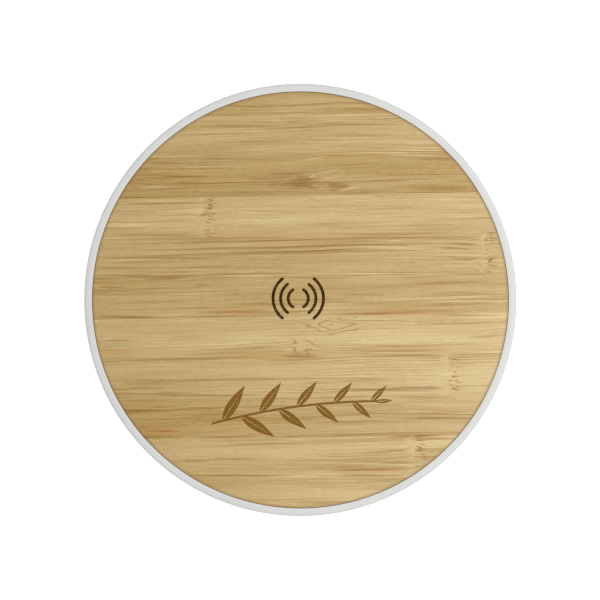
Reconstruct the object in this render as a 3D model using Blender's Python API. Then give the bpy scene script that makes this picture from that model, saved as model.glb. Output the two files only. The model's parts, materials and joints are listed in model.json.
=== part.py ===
"""A round wireless charging pad: a bamboo top in a white two-part housing, with the electronics inside it.

Run it with: blender --background --python part.py
Lengths are in millimetres and angles in degrees; MM turns lengths into Blender's metres.
The origin is on the table under the middle of the pad, +Z is up, and +Y points to the charging socket.
"""

from math import acos, asin, atan2, cos, degrees, pi, radians, sin

import bmesh
import bpy
from mathutils import Matrix, Vector

MM = 0.001
MERGE = 1e-6  # points closer than this, in metres, are one point
LEVEL = 0.999  # a face is level when its normal is at least this vertical
SHARP_ANGLE = 35

# Outer shape
PAD_R = 50.0
PAD_TOP = 9.0
BASE_BOTTOM = 0.7  # the feet lift the housing this far off the table
RIM_ROUND = 0.6  # radius of the rim's outer edge
SEAM_Z = 4.3  # where the two housing shells meet
SEAM_GAP = 0.2
EDGE = 0.15  # small chamfers on the shells' edges
ROUND_STEPS = 64  # facets round the housing

# Bamboo disc, its glue and the recess they sit in
BAMBOO_R = 47.85
BAMBOO_THICK = 1.4
RECESS_R = 48.15
DECK_TOP = 7.4
DECK_BOTTOM = 6.2
GLUE_R = 46.5
GLUE_THICK = 0.1

# Engraved wireless symbol: three concentric arcs on each side
SYMBOL_CENTRE = (-0.5, 0.35)
SYMBOL_RADII = (2.32, 4.08, 5.83)
SYMBOL_HALF_ANGLES = (58, 53, 51)
SYMBOL_STROKE = 0.5
SYMBOL_DEPTH = 0.25

# Engraved leaf sprig, a plain decoration
SPRIG_START = (-20.5, -28.6)
SPRIG_SPAN = 38.5
SPRIG_RISE = 2.6
SPRIG_STROKE = 0.5
SPRIG_LEAVES = 9
LEAF_LONGEST = 9.6
LEAF_SHORTEST = 5.2
LEAF_SPREAD = 44  # angle between the stem and a leaf
LEAF_SLENDERNESS = 0.13  # half a leaf's width over its length
SPRIG_DEPTH = 0.12

# Housing walls
WALL_R_IN = 48.2
LIP_R_OUT = 47.95
LIP_R_IN = 46.9
LIP_TOP = 5.4
FLOOR_TOP = 2.0
BASE_FLAT_R = 45.0
BASE_SIDE_Z = 3.2  # the base's rounded corner ends and its upright side begins
LABEL_R = 16.0
LABEL_DEPTH = 0.2

# Case screws, each in a boss and hidden under a foot
FASTENER_R = 38.0
FASTENER_ANGLES = {"rear_right": 35, "rear_left": 145, "front_left": 215, "front_right": 325}
FOOT_R = 5.0
FOOT_TOP = 1.15
FOOT_ROUND = 0.4
FOOT_RECESS_R = 5.3
FOOT_RECESS_TOP = 1.2
HEAD_R = 1.8
HEAD_HEIGHT = 1.0
DRIVER_RECESS = (1.9, 0.42, 0.45)
THREAD_R = 0.95
CORE_R = 0.75
THREAD_PITCH = 0.8
CASE_SCREW_LENGTH = 3.4
PILOT_R = 1.05
TOP_BOSS_R = 2.6
BASE_BOSS_R = 3.6
BOSS_SPLIT_Z = 3.3

# Circuit board, a segment of a circle behind the coil
BOARD_R = 46.2
BOARD_FRONT_Y = 27.5
BOARD_BOTTOM = 2.95
BOARD_THICK = 1.0
BOARD_SCREW_X = 29.5
BOARD_SCREW_Y = 31.2
BOARD_SCREW_LENGTH = 2.4
BOARD_HEAD_HEIGHT = 0.75
BOARD_POST_R = 2.2
BOARD_TOP = BOARD_BOTTOM + BOARD_THICK
JOINT_GAP = 0.05  # between pieces that touch, such as a chip and the board

# Parts on the board: (length, width, height), and where their middles are
CONTROLLER_SIZE = (5.0, 5.0, 0.85)
CONTROLLER_AT = (12.5, 34.0)
PIN_DIMPLE_R = 0.35
PIN_DIMPLE_INSET = 0.8
PIN_DIMPLE_DEPTH = 0.1
BRIDGE_SIZE = (4.9, 3.9, 1.35)
BRIDGE_PLACES = ((-9.4, 37.6), (-16.0, 37.6))
BRIDGE_STANDOFF = 0.12
BRIDGE_LEAD_PITCH = 1.27
BRIDGE_LEAD_WIDTH = 0.4
RESONANT_SIZE = (3.2, 2.5, 1.7)
RESONANT_AT = (-7.2, 30.6)
RESONANT_PITCH = 4.0
SUPPLY_CAP_SIZE = (3.2, 1.6, 1.6)
SUPPLY_CAP_PLACES = ((8.2, 38.4), (8.2, 41.0))
INDUCTOR_SIDE = 4.4
INDUCTOR_CORNER = 0.9
INDUCTOR_HEIGHT = 1.95
INDUCTOR_AT = (22.6, 33.6)
CRYSTAL_SIZE = (3.2, 2.5, 0.75)
CRYSTAL_AT = (17.6, 30.4)
RESISTOR_SIZE = (1.6, 0.8, 0.45)
RESISTOR_PLACES = ((13.6, 39.4), (13.6, 41.0), (17.6, 34.4), (17.6, 36.0), (-22.5, 33.4), (-22.5, 35.0))

# USB-C socket, sunk into a notch in the board
SOCKET_WIDTH = 8.94
SOCKET_HEIGHT = 3.16
SOCKET_LENGTH = 9.0
SOCKET_FRONT_Y = 49.3
SOCKET_WALL = 0.28
SOCKET_Z = SEAM_Z
PORT_CLEARANCE = 0.25
TONGUE_WIDTH = 6.7
TONGUE_THICK = 0.7
TONGUE_TIP_INSET = 0.9
WING_SIZE = (2.2, 1.5, 0.3)  # the tabs that solder the socket to the board
WING_BACKS = (-7.7, -5.0)

# Charging coil: one length of litz wire
WIRE_R = 0.6
COIL_R_OUT = 24.4
COIL_PITCH = 1.32
COIL_TURNS = 10.5
COIL_START = 105
COIL_Z = 5.43
COIL_STEPS = 24  # points in each turn
LEAD_Z = 4.1  # the inner lead runs under the turns, in the ferrite's slot
PAD_LEAD_Z = 4.6  # both leads end on the board
TAPE_R_IN = 9.5
FERRITE_R = 26.0
FERRITE_TOP = 4.75
FERRITE_THICK = 0.8
SLOT_X = 5.2
SLOT_START_Y = -4.6
SLOT_HALF_WIDTH = 2.0
TAPE_THICK = 0.08
COIL_RING_R = (26.4, 27.3)
COIL_RING_BOTTOM = 4.6
COIL_RING_OPENING = 22  # half the angle left open behind, where the leads pass
RIB_SIZE = (12.0, 1.2)
RIB_R = 14.0
RIB_ANGLES = (0, 120, 180, 240, 300)
SENSOR_WIRE_R = 0.17
SENSOR_WIRE_SPACING = 0.45

# Status light
LIGHT_ANGLE = 66
LIGHT_Z = 5.0
LIGHT_PIPE_R = 0.95
LIGHT_PIPE_DOME = 0.2
LIGHT_HOLE_R = 1.1
LIGHT_PIPE_START_R = 45.2
LED_SIZE = (3.0, 1.2, 1.9)

# Vent slots in the base
VENT_LENGTH = 13.0
VENT_WIDTH = 1.2
VENT_ROWS = (29.6, 32.4, 35.2)

MATERIALS = {
    # name: (colour, roughness, metallic)
    "bamboo": ((0.533, 0.381, 0.168), 0.55, 0.0),
    "white_abs": ((0.80, 0.80, 0.78), 0.45, 0.0),
    "rubber": ((0.09, 0.09, 0.09), 0.85, 0.0),
    "glue_film": ((0.85, 0.82, 0.70), 0.6, 0.0),
    "steel": ((0.62, 0.62, 0.60), 0.32, 1.0),
    "copper_litz": ((0.62, 0.27, 0.13), 0.4, 1.0),
    "ferrite": ((0.055, 0.055, 0.06), 0.6, 0.0),
    "circuit_board": ((0.02, 0.13, 0.06), 0.4, 0.0),
    "chip_black": ((0.03, 0.03, 0.03), 0.5, 0.0),
    "socket_black": ((0.02, 0.02, 0.02), 0.4, 0.0),
    "ceramic_tan": ((0.45, 0.30, 0.18), 0.5, 0.0),
    "led_white": ((0.85, 0.85, 0.80), 0.4, 0.0),
    "clear_acrylic": ((0.90, 0.92, 0.92), 0.1, 0.0),
    "epoxy_bead": ((0.02, 0.02, 0.025), 0.3, 0.0),
}


# ---------------------------------------------------------------- helpers


def clear_scene():
    for obj in list(bpy.data.objects):
        bpy.data.objects.remove(obj)


def make_materials():
    for name, (colour, roughness, metallic) in MATERIALS.items():
        made = bpy.data.materials.new(name)
        made.use_nodes = True
        shader = made.node_tree.nodes["Principled BSDF"]
        shader.inputs["Base Color"].default_value = (*colour, 1)
        shader.inputs["Roughness"].default_value = roughness
        shader.inputs["Metallic"].default_value = metallic


def empty(name, location=(0, 0, 0), parent=None):
    made = bpy.data.objects.new(name, None)
    bpy.context.scene.collection.objects.link(made)
    made.location = Vector(location) * MM
    made.parent = parent
    return made


def place(name, data, material, location=(0, 0, 0), turn=0, parent=None):
    """An object of this mesh or curve, with its origin at location, turned about Z."""
    made = bpy.data.objects.new(name, data)
    bpy.context.scene.collection.objects.link(made)
    if material and not data.materials:
        data.materials.append(bpy.data.materials[material])
    made.location = Vector(location) * MM
    made.rotation_euler.z = radians(turn)
    made.parent = parent
    return made


def finish_mesh(name, bm):
    """A mesh of bm, with its faces pointing out, its round sides shaded smooth and its level faces flat."""
    bmesh.ops.remove_doubles(bm, verts=bm.verts, dist=MERGE)
    bmesh.ops.recalc_face_normals(bm, faces=bm.faces)
    for face in bm.faces:
        face.smooth = abs(face.normal.z) < LEVEL
    mesh = bpy.data.meshes.new(name)
    bm.to_mesh(mesh)
    bm.free()
    mesh.set_sharp_from_angle(angle=radians(SHARP_ANGLE))
    return mesh


def turned_mesh(name, outline, steps=ROUND_STEPS):
    """A solid turned about Z. Its outline is (radius, height) points, closed or running from axis to axis."""
    bm = bmesh.new()
    verts = [bm.verts.new((r * MM, 0, z * MM)) for r, z in outline]
    pairs = list(zip(verts, verts[1:]))
    if outline[0][0] > 0:
        pairs.append((verts[-1], verts[0]))
    edges = [bm.edges.new(pair) for pair in pairs]
    bmesh.ops.spin(bm, geom=verts + edges, axis=(0, 0, 1), cent=(0, 0, 0), angle=2 * pi, steps=steps)
    return finish_mesh(name, bm)


def slab_mesh(name, outline, bottom, top):
    """A flat plate: an outline of (x, y) points extruded from bottom to top."""
    bm = bmesh.new()
    face = bm.faces.new([bm.verts.new((x * MM, y * MM, bottom * MM)) for x, y in outline])
    lifted = bmesh.ops.extrude_face_region(bm, geom=[face])
    moved = [item for item in lifted["geom"] if isinstance(item, bmesh.types.BMVert)]
    bmesh.ops.translate(bm, verts=moved, vec=(0, 0, (top - bottom) * MM))
    return finish_mesh(name, bm)


def upright_slab_mesh(name, outline, back, front):
    """A plate whose outline is (x, z) points, extruded along Y from back to front."""
    mesh = slab_mesh(name, outline, back, front)
    mesh.transform(Matrix(((1, 0, 0, 0), (0, 0, 1, 0), (0, 1, 0, 0), (0, 0, 0, 1))))
    mesh.flip_normals()
    return mesh


def disc_mesh(name, radius, bottom, top, steps=ROUND_STEPS):
    """A plain disc, whose two ends are single faces."""
    return slab_mesh(name, arc(0, 0, radius, 0, 360, steps)[:-1], bottom, top)


def box_mesh(name, size, bevel=0.0):
    """A box standing on the origin, with its edges bevelled."""
    bm = bmesh.new()
    bmesh.ops.create_cube(bm, size=MM)
    bmesh.ops.translate(bm, verts=bm.verts, vec=(0, 0, MM / 2))
    bmesh.ops.scale(bm, verts=bm.verts, vec=size)
    if bevel:
        bmesh.ops.bevel(bm, geom=bm.edges, offset=bevel * MM, segments=1, affect="EDGES")
    return finish_mesh(name, bm)


def arc(x, y, radius, start, end, steps):
    """Points from angle start to angle end, ends included."""
    angles = [radians(start + (end - start) * i / steps) for i in range(steps + 1)]
    return [(x + radius * cos(a), y + radius * sin(a)) for a in angles]


def stadium(width, height, steps=8):
    """The outline of a slot with round ends, centred on the origin."""
    r = height / 2
    reach = width / 2 - r
    return arc(reach, 0, r, -90, 90, steps) + arc(-reach, 0, r, 90, 270, steps)


def round_box(width, depth, radius, steps=3):
    """The outline of a rectangle with rounded corners."""
    x, y = width / 2 - radius, depth / 2 - radius
    corners = ((x, y, 0), (-x, y, 90), (-x, -y, 180), (x, -y, 270))
    return [p for cx, cy, a in corners for p in arc(cx, cy, radius, a, a + 90, steps)]


def combine(target, operation, tools):
    """Cuts the tools from target, or joins them to it, in one Boolean. The tools aren't part of the model."""
    group = bpy.data.collections.new(f"{target.name}_{operation.lower()}")
    bpy.context.scene.collection.children.link(group)
    for tool in tools:
        bpy.context.scene.collection.objects.unlink(tool)
        group.objects.link(tool)
        tool.hide_render = True
        tool.display_type = "WIRE"
        if operation == "DIFFERENCE":
            tool.data.shade_flat()
    modifier = target.modifiers.new(operation.title(), "BOOLEAN")
    modifier.operation = operation
    modifier.operand_type = "COLLECTION"
    modifier.collection = group
    modifier.solver = "EXACT"


def rounded_path(points, rounds=2):
    """The path with its corners cut, twice by default, so that a wire bends and doesn't kink."""
    points = [Vector(p) for p in points]
    for _ in range(rounds):
        inner = []
        for a, b in zip(points, points[1:]):
            inner += [a.lerp(b, 0.25), a.lerp(b, 0.75)]
        points = [points[0], *inner[1:-1], points[-1]]
    return points


def wire(name, points, radius, material, parent):
    """A round wire through the points, with closed ends."""
    curve = bpy.data.curves.new(name, "CURVE")
    curve.dimensions = "3D"
    curve.twist_mode = "Z_UP"
    curve.bevel_depth = radius * MM
    curve.bevel_resolution = 1
    curve.use_fill_caps = True
    spline = curve.splines.new("POLY")
    spline.points.add(len(points) - 1)
    for point, at in zip(spline.points, points):
        point.co = (*(Vector(at) * MM), 1)
    return place(name, curve, material, parent=parent)


def polar(radius, angle, z=0.0):
    return (radius * cos(radians(angle)), radius * sin(radians(angle)), z)


def fastener_places():
    return {name: polar(FASTENER_R, angle) for name, angle in FASTENER_ANGLES.items()}


# ---------------------------------------------------------------- bamboo top


def arc_band(x, y, radius, start, end, stroke, steps=10):
    """The outline of a curved stroke with flat ends."""
    outer = arc(x, y, radius + stroke / 2, start, end, steps)
    inner = arc(x, y, radius - stroke / 2, end, start, steps)
    return outer + inner


def round_ended_band(x, y, radius, start, end, stroke):
    """The outline of a curved stroke with round ends."""
    band = arc_band(x, y, radius, start, end, stroke)
    half = len(band) // 2
    far_x, far_y, _ = polar(radius, end)
    near_x, near_y, _ = polar(radius, start)
    far_cap = arc(x + far_x, y + far_y, stroke / 2, end, end + 180, 6)
    near_cap = arc(x + near_x, y + near_y, stroke / 2, start + 180, start + 360, 6)
    return band[:half] + far_cap[1:-1] + band[half:] + near_cap[1:-1]


def leaf_outline(base, angle, length, steps=7):
    """A slender pointed leaf, widest a third of the way up."""
    along = Vector((cos(radians(angle)), sin(radians(angle))))
    across = Vector((-along.y, along.x))
    half_width = LEAF_SLENDERNESS * length
    sides = []
    for i in range(1, steps):
        t = i / steps
        sides.append((t * length, half_width * sin(pi * t**0.75)))
    right = [along * t - across * w for t, w in sides]
    left = [along * t + across * w for t, w in reversed(sides)]
    points = [Vector((0, 0)), *right, along * length, *left]
    return [tuple(Vector(base) + p) for p in points]


def sprig_stem(share):
    """A point of the stem, from its root at 0 to its tip at 1."""
    x = SPRIG_START[0] + SPRIG_SPAN * share
    y = SPRIG_START[1] + SPRIG_RISE * (1 - (1 - share) ** 2) * 2
    return Vector((x, y))


def sprig_outlines():
    """The stem, then leaves set on alternate sides and growing shorter towards the tip."""
    steps = 16
    stem = [sprig_stem(i / steps) for i in range(steps + 1)]
    half = Vector((0, SPRIG_STROKE / 2))
    outlines = [[tuple(p - half) for p in stem] + [tuple(p + half) for p in reversed(stem)]]
    for i in range(SPRIG_LEAVES):
        share = (i + 0.6) / SPRIG_LEAVES
        run = sprig_stem(share + 0.02) - sprig_stem(share)
        heading = degrees(atan2(run.y, run.x))
        side = 1 if i % 2 == 0 else -1
        shrink = i / (SPRIG_LEAVES - 1)
        length = LEAF_LONGEST + (LEAF_SHORTEST - LEAF_LONGEST) * shrink
        outlines.append(leaf_outline(sprig_stem(share), heading + side * LEAF_SPREAD, length))
    tip = sprig_stem(1.0) - Vector((0.6, 0.1))
    outlines.append(leaf_outline(tip, 4, LEAF_SHORTEST * 0.75))  # one last leaf, in line with the stem
    return outlines


def make_bamboo_top(pad):
    bottom = PAD_TOP - BAMBOO_THICK
    top = place("bamboo_top", disc_mesh("bamboo_top", BAMBOO_R, bottom, PAD_TOP), "bamboo", parent=pad)
    above = PAD_TOP + 1
    tools = []
    for radius, half in zip(SYMBOL_RADII, SYMBOL_HALF_ANGLES):
        for facing in (0, 180):
            band = round_ended_band(*SYMBOL_CENTRE, radius, facing - half, facing + half, SYMBOL_STROKE)
            mesh = slab_mesh("symbol_arc", band, PAD_TOP - SYMBOL_DEPTH, above)
            tools.append(place("symbol_arc", mesh, None, parent=pad))
    for outline in sprig_outlines():
        mesh = slab_mesh("sprig_shape", outline, PAD_TOP - SPRIG_DEPTH, above)
        tools.append(place("sprig_shape", mesh, None, parent=pad))
    combine(top, "DIFFERENCE", tools)
    glue_bottom = (DECK_TOP + bottom - GLUE_THICK) / 2
    glue = disc_mesh("top_adhesive", GLUE_R, glue_bottom, glue_bottom + GLUE_THICK, 48)
    place("top_adhesive", glue, "glue_film", parent=pad)


# ---------------------------------------------------------------- housing


def port_and_light_cutters(pad):
    """The socket's mouth and the status light's hole, which both shells share."""
    mouth = stadium(SOCKET_WIDTH + 2 * PORT_CLEARANCE, SOCKET_HEIGHT + 2 * PORT_CLEARANCE)
    inside, outside = LIP_R_IN - 4, PAD_R + 2
    mesh = upright_slab_mesh("port_cutter", mouth, inside, outside)
    port = place("port_cutter", mesh, None, (0, 0, SOCKET_Z), parent=pad)
    hole = arc(0, 0, LIGHT_HOLE_R, 0, 360, 16)[:-1]
    mesh = upright_slab_mesh("light_cutter", hole, inside, outside)
    light = place("light_cutter", mesh, None, (0, 0, LIGHT_Z), turn=LIGHT_ANGLE - 90, parent=pad)
    return [port, light]


def make_top_housing(pad):
    """The upper shell: rim, recess floor and side wall in one moulding."""
    low = SEAM_Z + SEAM_GAP / 2
    outline = [(0, DECK_BOTTOM), (WALL_R_IN, DECK_BOTTOM), (WALL_R_IN, low)]
    outline += [(PAD_R - EDGE, low), (PAD_R, low + EDGE)]
    outline += arc(PAD_R - RIM_ROUND, PAD_TOP - RIM_ROUND, RIM_ROUND, 0, 90, 4)
    outline += [(RECESS_R + EDGE, PAD_TOP), (RECESS_R, PAD_TOP - EDGE)]
    outline += [(RECESS_R, DECK_TOP), (0, DECK_TOP)]
    shell = place("top_housing", turned_mesh("top_housing", outline), "white_abs", parent=pad)

    root = DECK_BOTTOM + 0.4  # how far the bosses run up into the deck, for a clean join
    joined = []
    boss = disc_mesh("top_boss", TOP_BOSS_R, BOSS_SPLIT_Z + 0.1, root, 20)
    for x, y, _ in fastener_places().values():
        joined.append(place("top_boss", boss, None, (x, y, 0), parent=pad))
    post = disc_mesh("board_post", BOARD_POST_R, BOARD_TOP + JOINT_GAP, root, 16)
    for side in (-1, 1):
        at = (side * BOARD_SCREW_X, BOARD_SCREW_Y, 0)
        joined.append(place("board_post", post, None, at, parent=pad))
    inner, outer = COIL_RING_R
    start, end = 90 + COIL_RING_OPENING, 450 - COIL_RING_OPENING
    ring = arc_band(0, 0, (inner + outer) / 2, start, end, outer - inner, 44)
    mesh = slab_mesh("coil_ring", ring, COIL_RING_BOTTOM, root)
    joined.append(place("coil_ring", mesh, None, parent=pad))
    combine(shell, "UNION", joined)

    cutters = port_and_light_cutters(pad)
    pilot = disc_mesh("pilot_hole", PILOT_R, BOSS_SPLIT_Z - 1, DECK_BOTTOM - 0.1, 12)
    holes = list(fastener_places().values())
    holes += [(side * BOARD_SCREW_X, BOARD_SCREW_Y, 0) for side in (-1, 1)]
    for x, y, _ in holes:
        cutters.append(place("pilot_hole", pilot, None, (x, y, 0), parent=pad))
    combine(shell, "DIFFERENCE", cutters)


def make_base_cover(pad):
    """The lower shell: a floor with a rounded corner and a lip that centres it in the upper shell."""
    high = SEAM_Z - SEAM_GAP / 2
    label_z = BASE_BOTTOM + LABEL_DEPTH
    outline = [(0, label_z), (LABEL_R, label_z), (LABEL_R + LABEL_DEPTH, BASE_BOTTOM)]
    corner_width, corner_height = PAD_R - BASE_FLAT_R, BASE_SIDE_Z - BASE_BOTTOM
    for x, z in arc(0, 0, 1, -90, 0, 6):
        outline.append((BASE_FLAT_R + corner_width * x, BASE_SIDE_Z + corner_height * z))
    outline += [(PAD_R, high - EDGE), (PAD_R - EDGE, high)]
    outline += [(LIP_R_OUT, high), (LIP_R_OUT, LIP_TOP - EDGE), (LIP_R_OUT - EDGE, LIP_TOP)]
    outline += [(LIP_R_IN, LIP_TOP), (LIP_R_IN, BASE_SIDE_Z), (LIP_R_IN - 2.4, FLOOR_TOP), (0, FLOOR_TOP)]
    shell = place("base_cover", turned_mesh("base_cover", outline), "white_abs", parent=pad)

    joined = []
    boss = disc_mesh("base_boss", BASE_BOSS_R, FLOOR_TOP - 0.4, BOSS_SPLIT_Z, 24)
    for x, y, _ in fastener_places().values():
        joined.append(place("base_boss", boss, None, (x, y, 0), parent=pad))
    # Ribs hold the ferrite and coil up against the deck.
    rib_bottom = FLOOR_TOP - 0.4
    rib_top = FERRITE_TOP - FERRITE_THICK - JOINT_GAP
    rib = box_mesh("coil_rib", (*RIB_SIZE, rib_top - rib_bottom))
    for angle in RIB_ANGLES:
        at = polar(RIB_R, angle, rib_bottom)
        joined.append(place("coil_rib", rib, None, at, turn=angle, parent=pad))
    combine(shell, "UNION", joined)

    # A foot's recess, then the screw head's counterbore, then the screw's own hole.
    head_top = FOOT_RECESS_TOP + HEAD_HEIGHT + 0.1
    stepped = [(0, -1), (FOOT_RECESS_R, -1), (FOOT_RECESS_R, FOOT_RECESS_TOP)]
    stepped += [(HEAD_R + 0.25, FOOT_RECESS_TOP), (HEAD_R + 0.25, head_top)]
    stepped += [(PILOT_R + 0.1, head_top), (PILOT_R + 0.1, BOSS_SPLIT_Z + 1), (0, BOSS_SPLIT_Z + 1)]
    hole = turned_mesh("screw_cutter", stepped, 20)
    cutters = port_and_light_cutters(pad)
    for x, y, _ in fastener_places().values():
        cutters.append(place("screw_cutter", hole, None, (x, y, 0), parent=pad))
    vent = slab_mesh("vent", stadium(VENT_LENGTH, VENT_WIDTH, 4), BASE_BOTTOM - 1, FLOOR_TOP + 1)
    for y in VENT_ROWS:
        for side in (-1, 1):
            cutters.append(place("vent", vent, None, (0, side * y, 0), parent=pad))
    combine(shell, "DIFFERENCE", cutters)


# ---------------------------------------------------------------- feet and screws


def screw_mesh(name, head_height, length):
    """A pan-head screw pointing up from the origin, with thread ridges and a cross recess under its head."""
    outline = [(0, 0), (HEAD_R - 0.35, 0), (HEAD_R, 0.3), (HEAD_R, head_height), (CORE_R, head_height)]
    z = head_height + 0.35
    while z < head_height + length - 0.6:
        outline += [(CORE_R, z), (THREAD_R, z + THREAD_PITCH / 2)]
        z += THREAD_PITCH
    outline += [(CORE_R, z), (0.2, head_height + length), (0, head_height + length)]
    return turned_mesh(name, outline, 12)


def make_screws(pad):
    case = screw_mesh("case_screw", HEAD_HEIGHT, CASE_SCREW_LENGTH)
    board = screw_mesh("board_screw", BOARD_HEAD_HEIGHT, BOARD_SCREW_LENGTH)
    length, width, depth = DRIVER_RECESS
    cross = [box_mesh("driver_recess", size) for size in ((length, width, depth), (width, length, depth))]
    screws = []
    for name, (x, y, _) in fastener_places().items():
        at = (x, y, FOOT_RECESS_TOP + JOINT_GAP)
        screws.append((place(f"case_screw_{name}", case, "steel", at, parent=pad), at))
    for name, side in (("left", -1), ("right", 1)):
        at = (side * BOARD_SCREW_X, BOARD_SCREW_Y, BOARD_BOTTOM - BOARD_HEAD_HEIGHT - JOINT_GAP)
        screws.append((place(f"board_screw_{name}", board, "steel", at, parent=pad), at))
    for screw, (x, y, z) in screws:
        tools = [place("driver_recess", mesh, None, (x, y, z - JOINT_GAP), parent=pad) for mesh in cross]
        combine(screw, "DIFFERENCE", tools)


def make_feet(pad):
    """Soft discs with a rounded lower edge, each glued into its recess over a screw."""
    rounding = arc(FOOT_R - FOOT_ROUND, FOOT_ROUND, FOOT_ROUND, -90, 0, 3)
    outline = [(0, 0), *rounding, (FOOT_R, FOOT_TOP), (0, FOOT_TOP)]
    mesh = turned_mesh("foot", outline, 24)
    for name, at in fastener_places().items():
        place(f"foot_{name}", mesh, "rubber", at, parent=pad)


# ---------------------------------------------------------------- coil


def coil_points():
    """The wire's centre line: from the board, round the spiral inwards, and back out under the turns."""
    outer_lead = [(-1.6, 31.0, PAD_LEAD_Z), (-1.6, 28.4, PAD_LEAD_Z), (-2.6, 26.0, COIL_Z)]
    steps = int(COIL_TURNS * COIL_STEPS)
    spiral = []
    for i in range(steps + 1):
        turns = i / COIL_STEPS
        spiral.append(polar(COIL_R_OUT - COIL_PITCH * turns, COIL_START + 360 * turns, COIL_Z))
    inner_lead = [
        (5.2, -8.8, COIL_Z),
        (6.0, -5.0, COIL_Z),
        (5.8, -0.5, COIL_Z),
        (5.2, 3.5, LEAD_Z),
        (4.6, 8.0, LEAD_Z),
        (4.6, 24.6, LEAD_Z),
        (4.4, 26.8, PAD_LEAD_Z),
        (4.4, 31.0, PAD_LEAD_Z),
    ]
    start = rounded_path([*outer_lead, spiral[0], spiral[1]])
    end = rounded_path([spiral[-2], spiral[-1], *inner_lead])
    return [*start[:-1], *spiral[1:-2], *end]


def make_coil(pad):
    wire("charging_coil", coil_points(), WIRE_R, "copper_litz", pad)

    tape_bottom = COIL_Z + WIRE_R + 0.03
    ring = [(TAPE_R_IN, tape_bottom), (COIL_R_OUT + WIRE_R, tape_bottom)]
    ring += [(r, tape_bottom + TAPE_THICK) for r, _ in reversed(ring)]
    place("coil_tape", turned_mesh("coil_tape", ring, 40), "glue_film", parent=pad)

    bottom = FERRITE_TOP - FERRITE_THICK
    mesh = disc_mesh("ferrite_shield", FERRITE_R, bottom, FERRITE_TOP)
    plate = place("ferrite_shield", mesh, "ferrite", parent=pad)
    reach = FERRITE_R + 2
    slot = arc(SLOT_X, SLOT_START_Y + SLOT_HALF_WIDTH, SLOT_HALF_WIDTH, 180, 360, 8)
    slot += [(SLOT_X + SLOT_HALF_WIDTH, reach), (SLOT_X - SLOT_HALF_WIDTH, reach)]
    mesh = slab_mesh("lead_slot", slot, bottom - 1, FERRITE_TOP + 1)
    combine(plate, "DIFFERENCE", [place("lead_slot", mesh, None, parent=pad)])


def make_thermistor(pad):
    """The temperature sensor in the coil's eye, and the two thin wires that share the ferrite's slot."""
    bead = [(0, 0), (0.55, 0), (0.85, 0.3), (0.85, 0.6), (0.5, 0.95), (0, 1.05)]
    at = (0, 0, FERRITE_TOP + JOINT_GAP)
    place("thermistor_bead", turned_mesh("thermistor_bead", bead, 16), "epoxy_bead", at, parent=pad)
    for name, shift in (("left", 0.0), ("right", SENSOR_WIRE_SPACING)):
        points = [
            (0.95, 0.1 - shift, 5.2),
            (3.6 + shift / 2, 2.6 - shift, 5.35),
            (5.8 + shift, 5.2 - shift, 5.2),
            (6.25 + shift, 7.0, 4.5),
            (6.25 + shift, 9.2, 4.25),
            (6.25 + shift, 25.5, 4.25),
            (6.4 + shift, 28.0, 4.3),
            (6.4 + shift, 29.6, 4.25),
        ]
        wire(f"thermistor_wire_{name}", rounded_path(points), SENSOR_WIRE_R, "epoxy_bead", pad)


# ---------------------------------------------------------------- board and parts on it


def board_outline():
    """A circle's segment with a notch at the back, where the socket sits."""
    notch_x = SOCKET_WIDTH / 2 + PORT_CLEARANCE
    notch_y = SOCKET_FRONT_Y - SOCKET_LENGTH - PORT_CLEARANCE
    corner = degrees(asin(BOARD_FRONT_Y / BOARD_R))
    edge = degrees(acos(notch_x / BOARD_R))
    right = arc(0, 0, BOARD_R, corner, edge, 14)
    left = arc(0, 0, BOARD_R, 180 - edge, 180 - corner, 14)
    return right + [(notch_x, notch_y), (-notch_x, notch_y)] + left


def make_board(pad):
    mesh = slab_mesh("main_board", board_outline(), BOARD_BOTTOM, BOARD_TOP)
    board = place("main_board", mesh, "circuit_board", parent=pad)
    hole = disc_mesh("board_hole", PILOT_R + 0.1, BOARD_BOTTOM - 1, BOARD_TOP + 1, 16)
    tools = []
    for side in (-1, 1):
        at = (side * BOARD_SCREW_X, BOARD_SCREW_Y, 0)
        tools.append(place("board_hole", hole, None, at, parent=pad))
    combine(board, "DIFFERENCE", tools)


def make_socket(pad):
    """A USB-C socket: a drawn steel shell with four wings, and the moulding that carries its tongue."""
    socket = empty("socket", (0, SOCKET_FRONT_Y, SOCKET_Z), pad)
    outer = stadium(SOCKET_WIDTH, SOCKET_HEIGHT)
    mesh = upright_slab_mesh("socket_shell", outer, -SOCKET_LENGTH, 0)
    shell = place("socket_shell", mesh, "steel", parent=socket)
    wing = box_mesh("wing", WING_SIZE)
    wings = []
    for y in WING_BACKS:
        for side in (-1, 1):
            at = (side * (SOCKET_WIDTH / 2 + 0.4), y, BOARD_TOP + JOINT_GAP - SOCKET_Z)
            wings.append(place("wing", wing, None, at, parent=socket))
    combine(shell, "UNION", wings)
    width, height = SOCKET_WIDTH - 2 * SOCKET_WALL, SOCKET_HEIGHT - 2 * SOCKET_WALL
    hollow_back = -SOCKET_LENGTH + SOCKET_WALL
    mesh = upright_slab_mesh("socket_hollow", stadium(width, height), hollow_back, 1)
    combine(shell, "DIFFERENCE", [place("socket_hollow", mesh, None, parent=socket)])

    block = stadium(width - 2 * JOINT_GAP, height - 2 * JOINT_GAP)
    back = hollow_back + JOINT_GAP
    mesh = upright_slab_mesh("socket_tongue", block, back, back + 2.0)
    moulding = place("socket_tongue", mesh, "socket_black", parent=socket)
    blade = round_box(TONGUE_WIDTH, TONGUE_THICK, 0.2, 2)
    mesh = upright_slab_mesh("tongue_blade", blade, back + 1.0, -TONGUE_TIP_INSET)
    combine(moulding, "UNION", [place("tongue_blade", mesh, None, parent=socket)])


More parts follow.
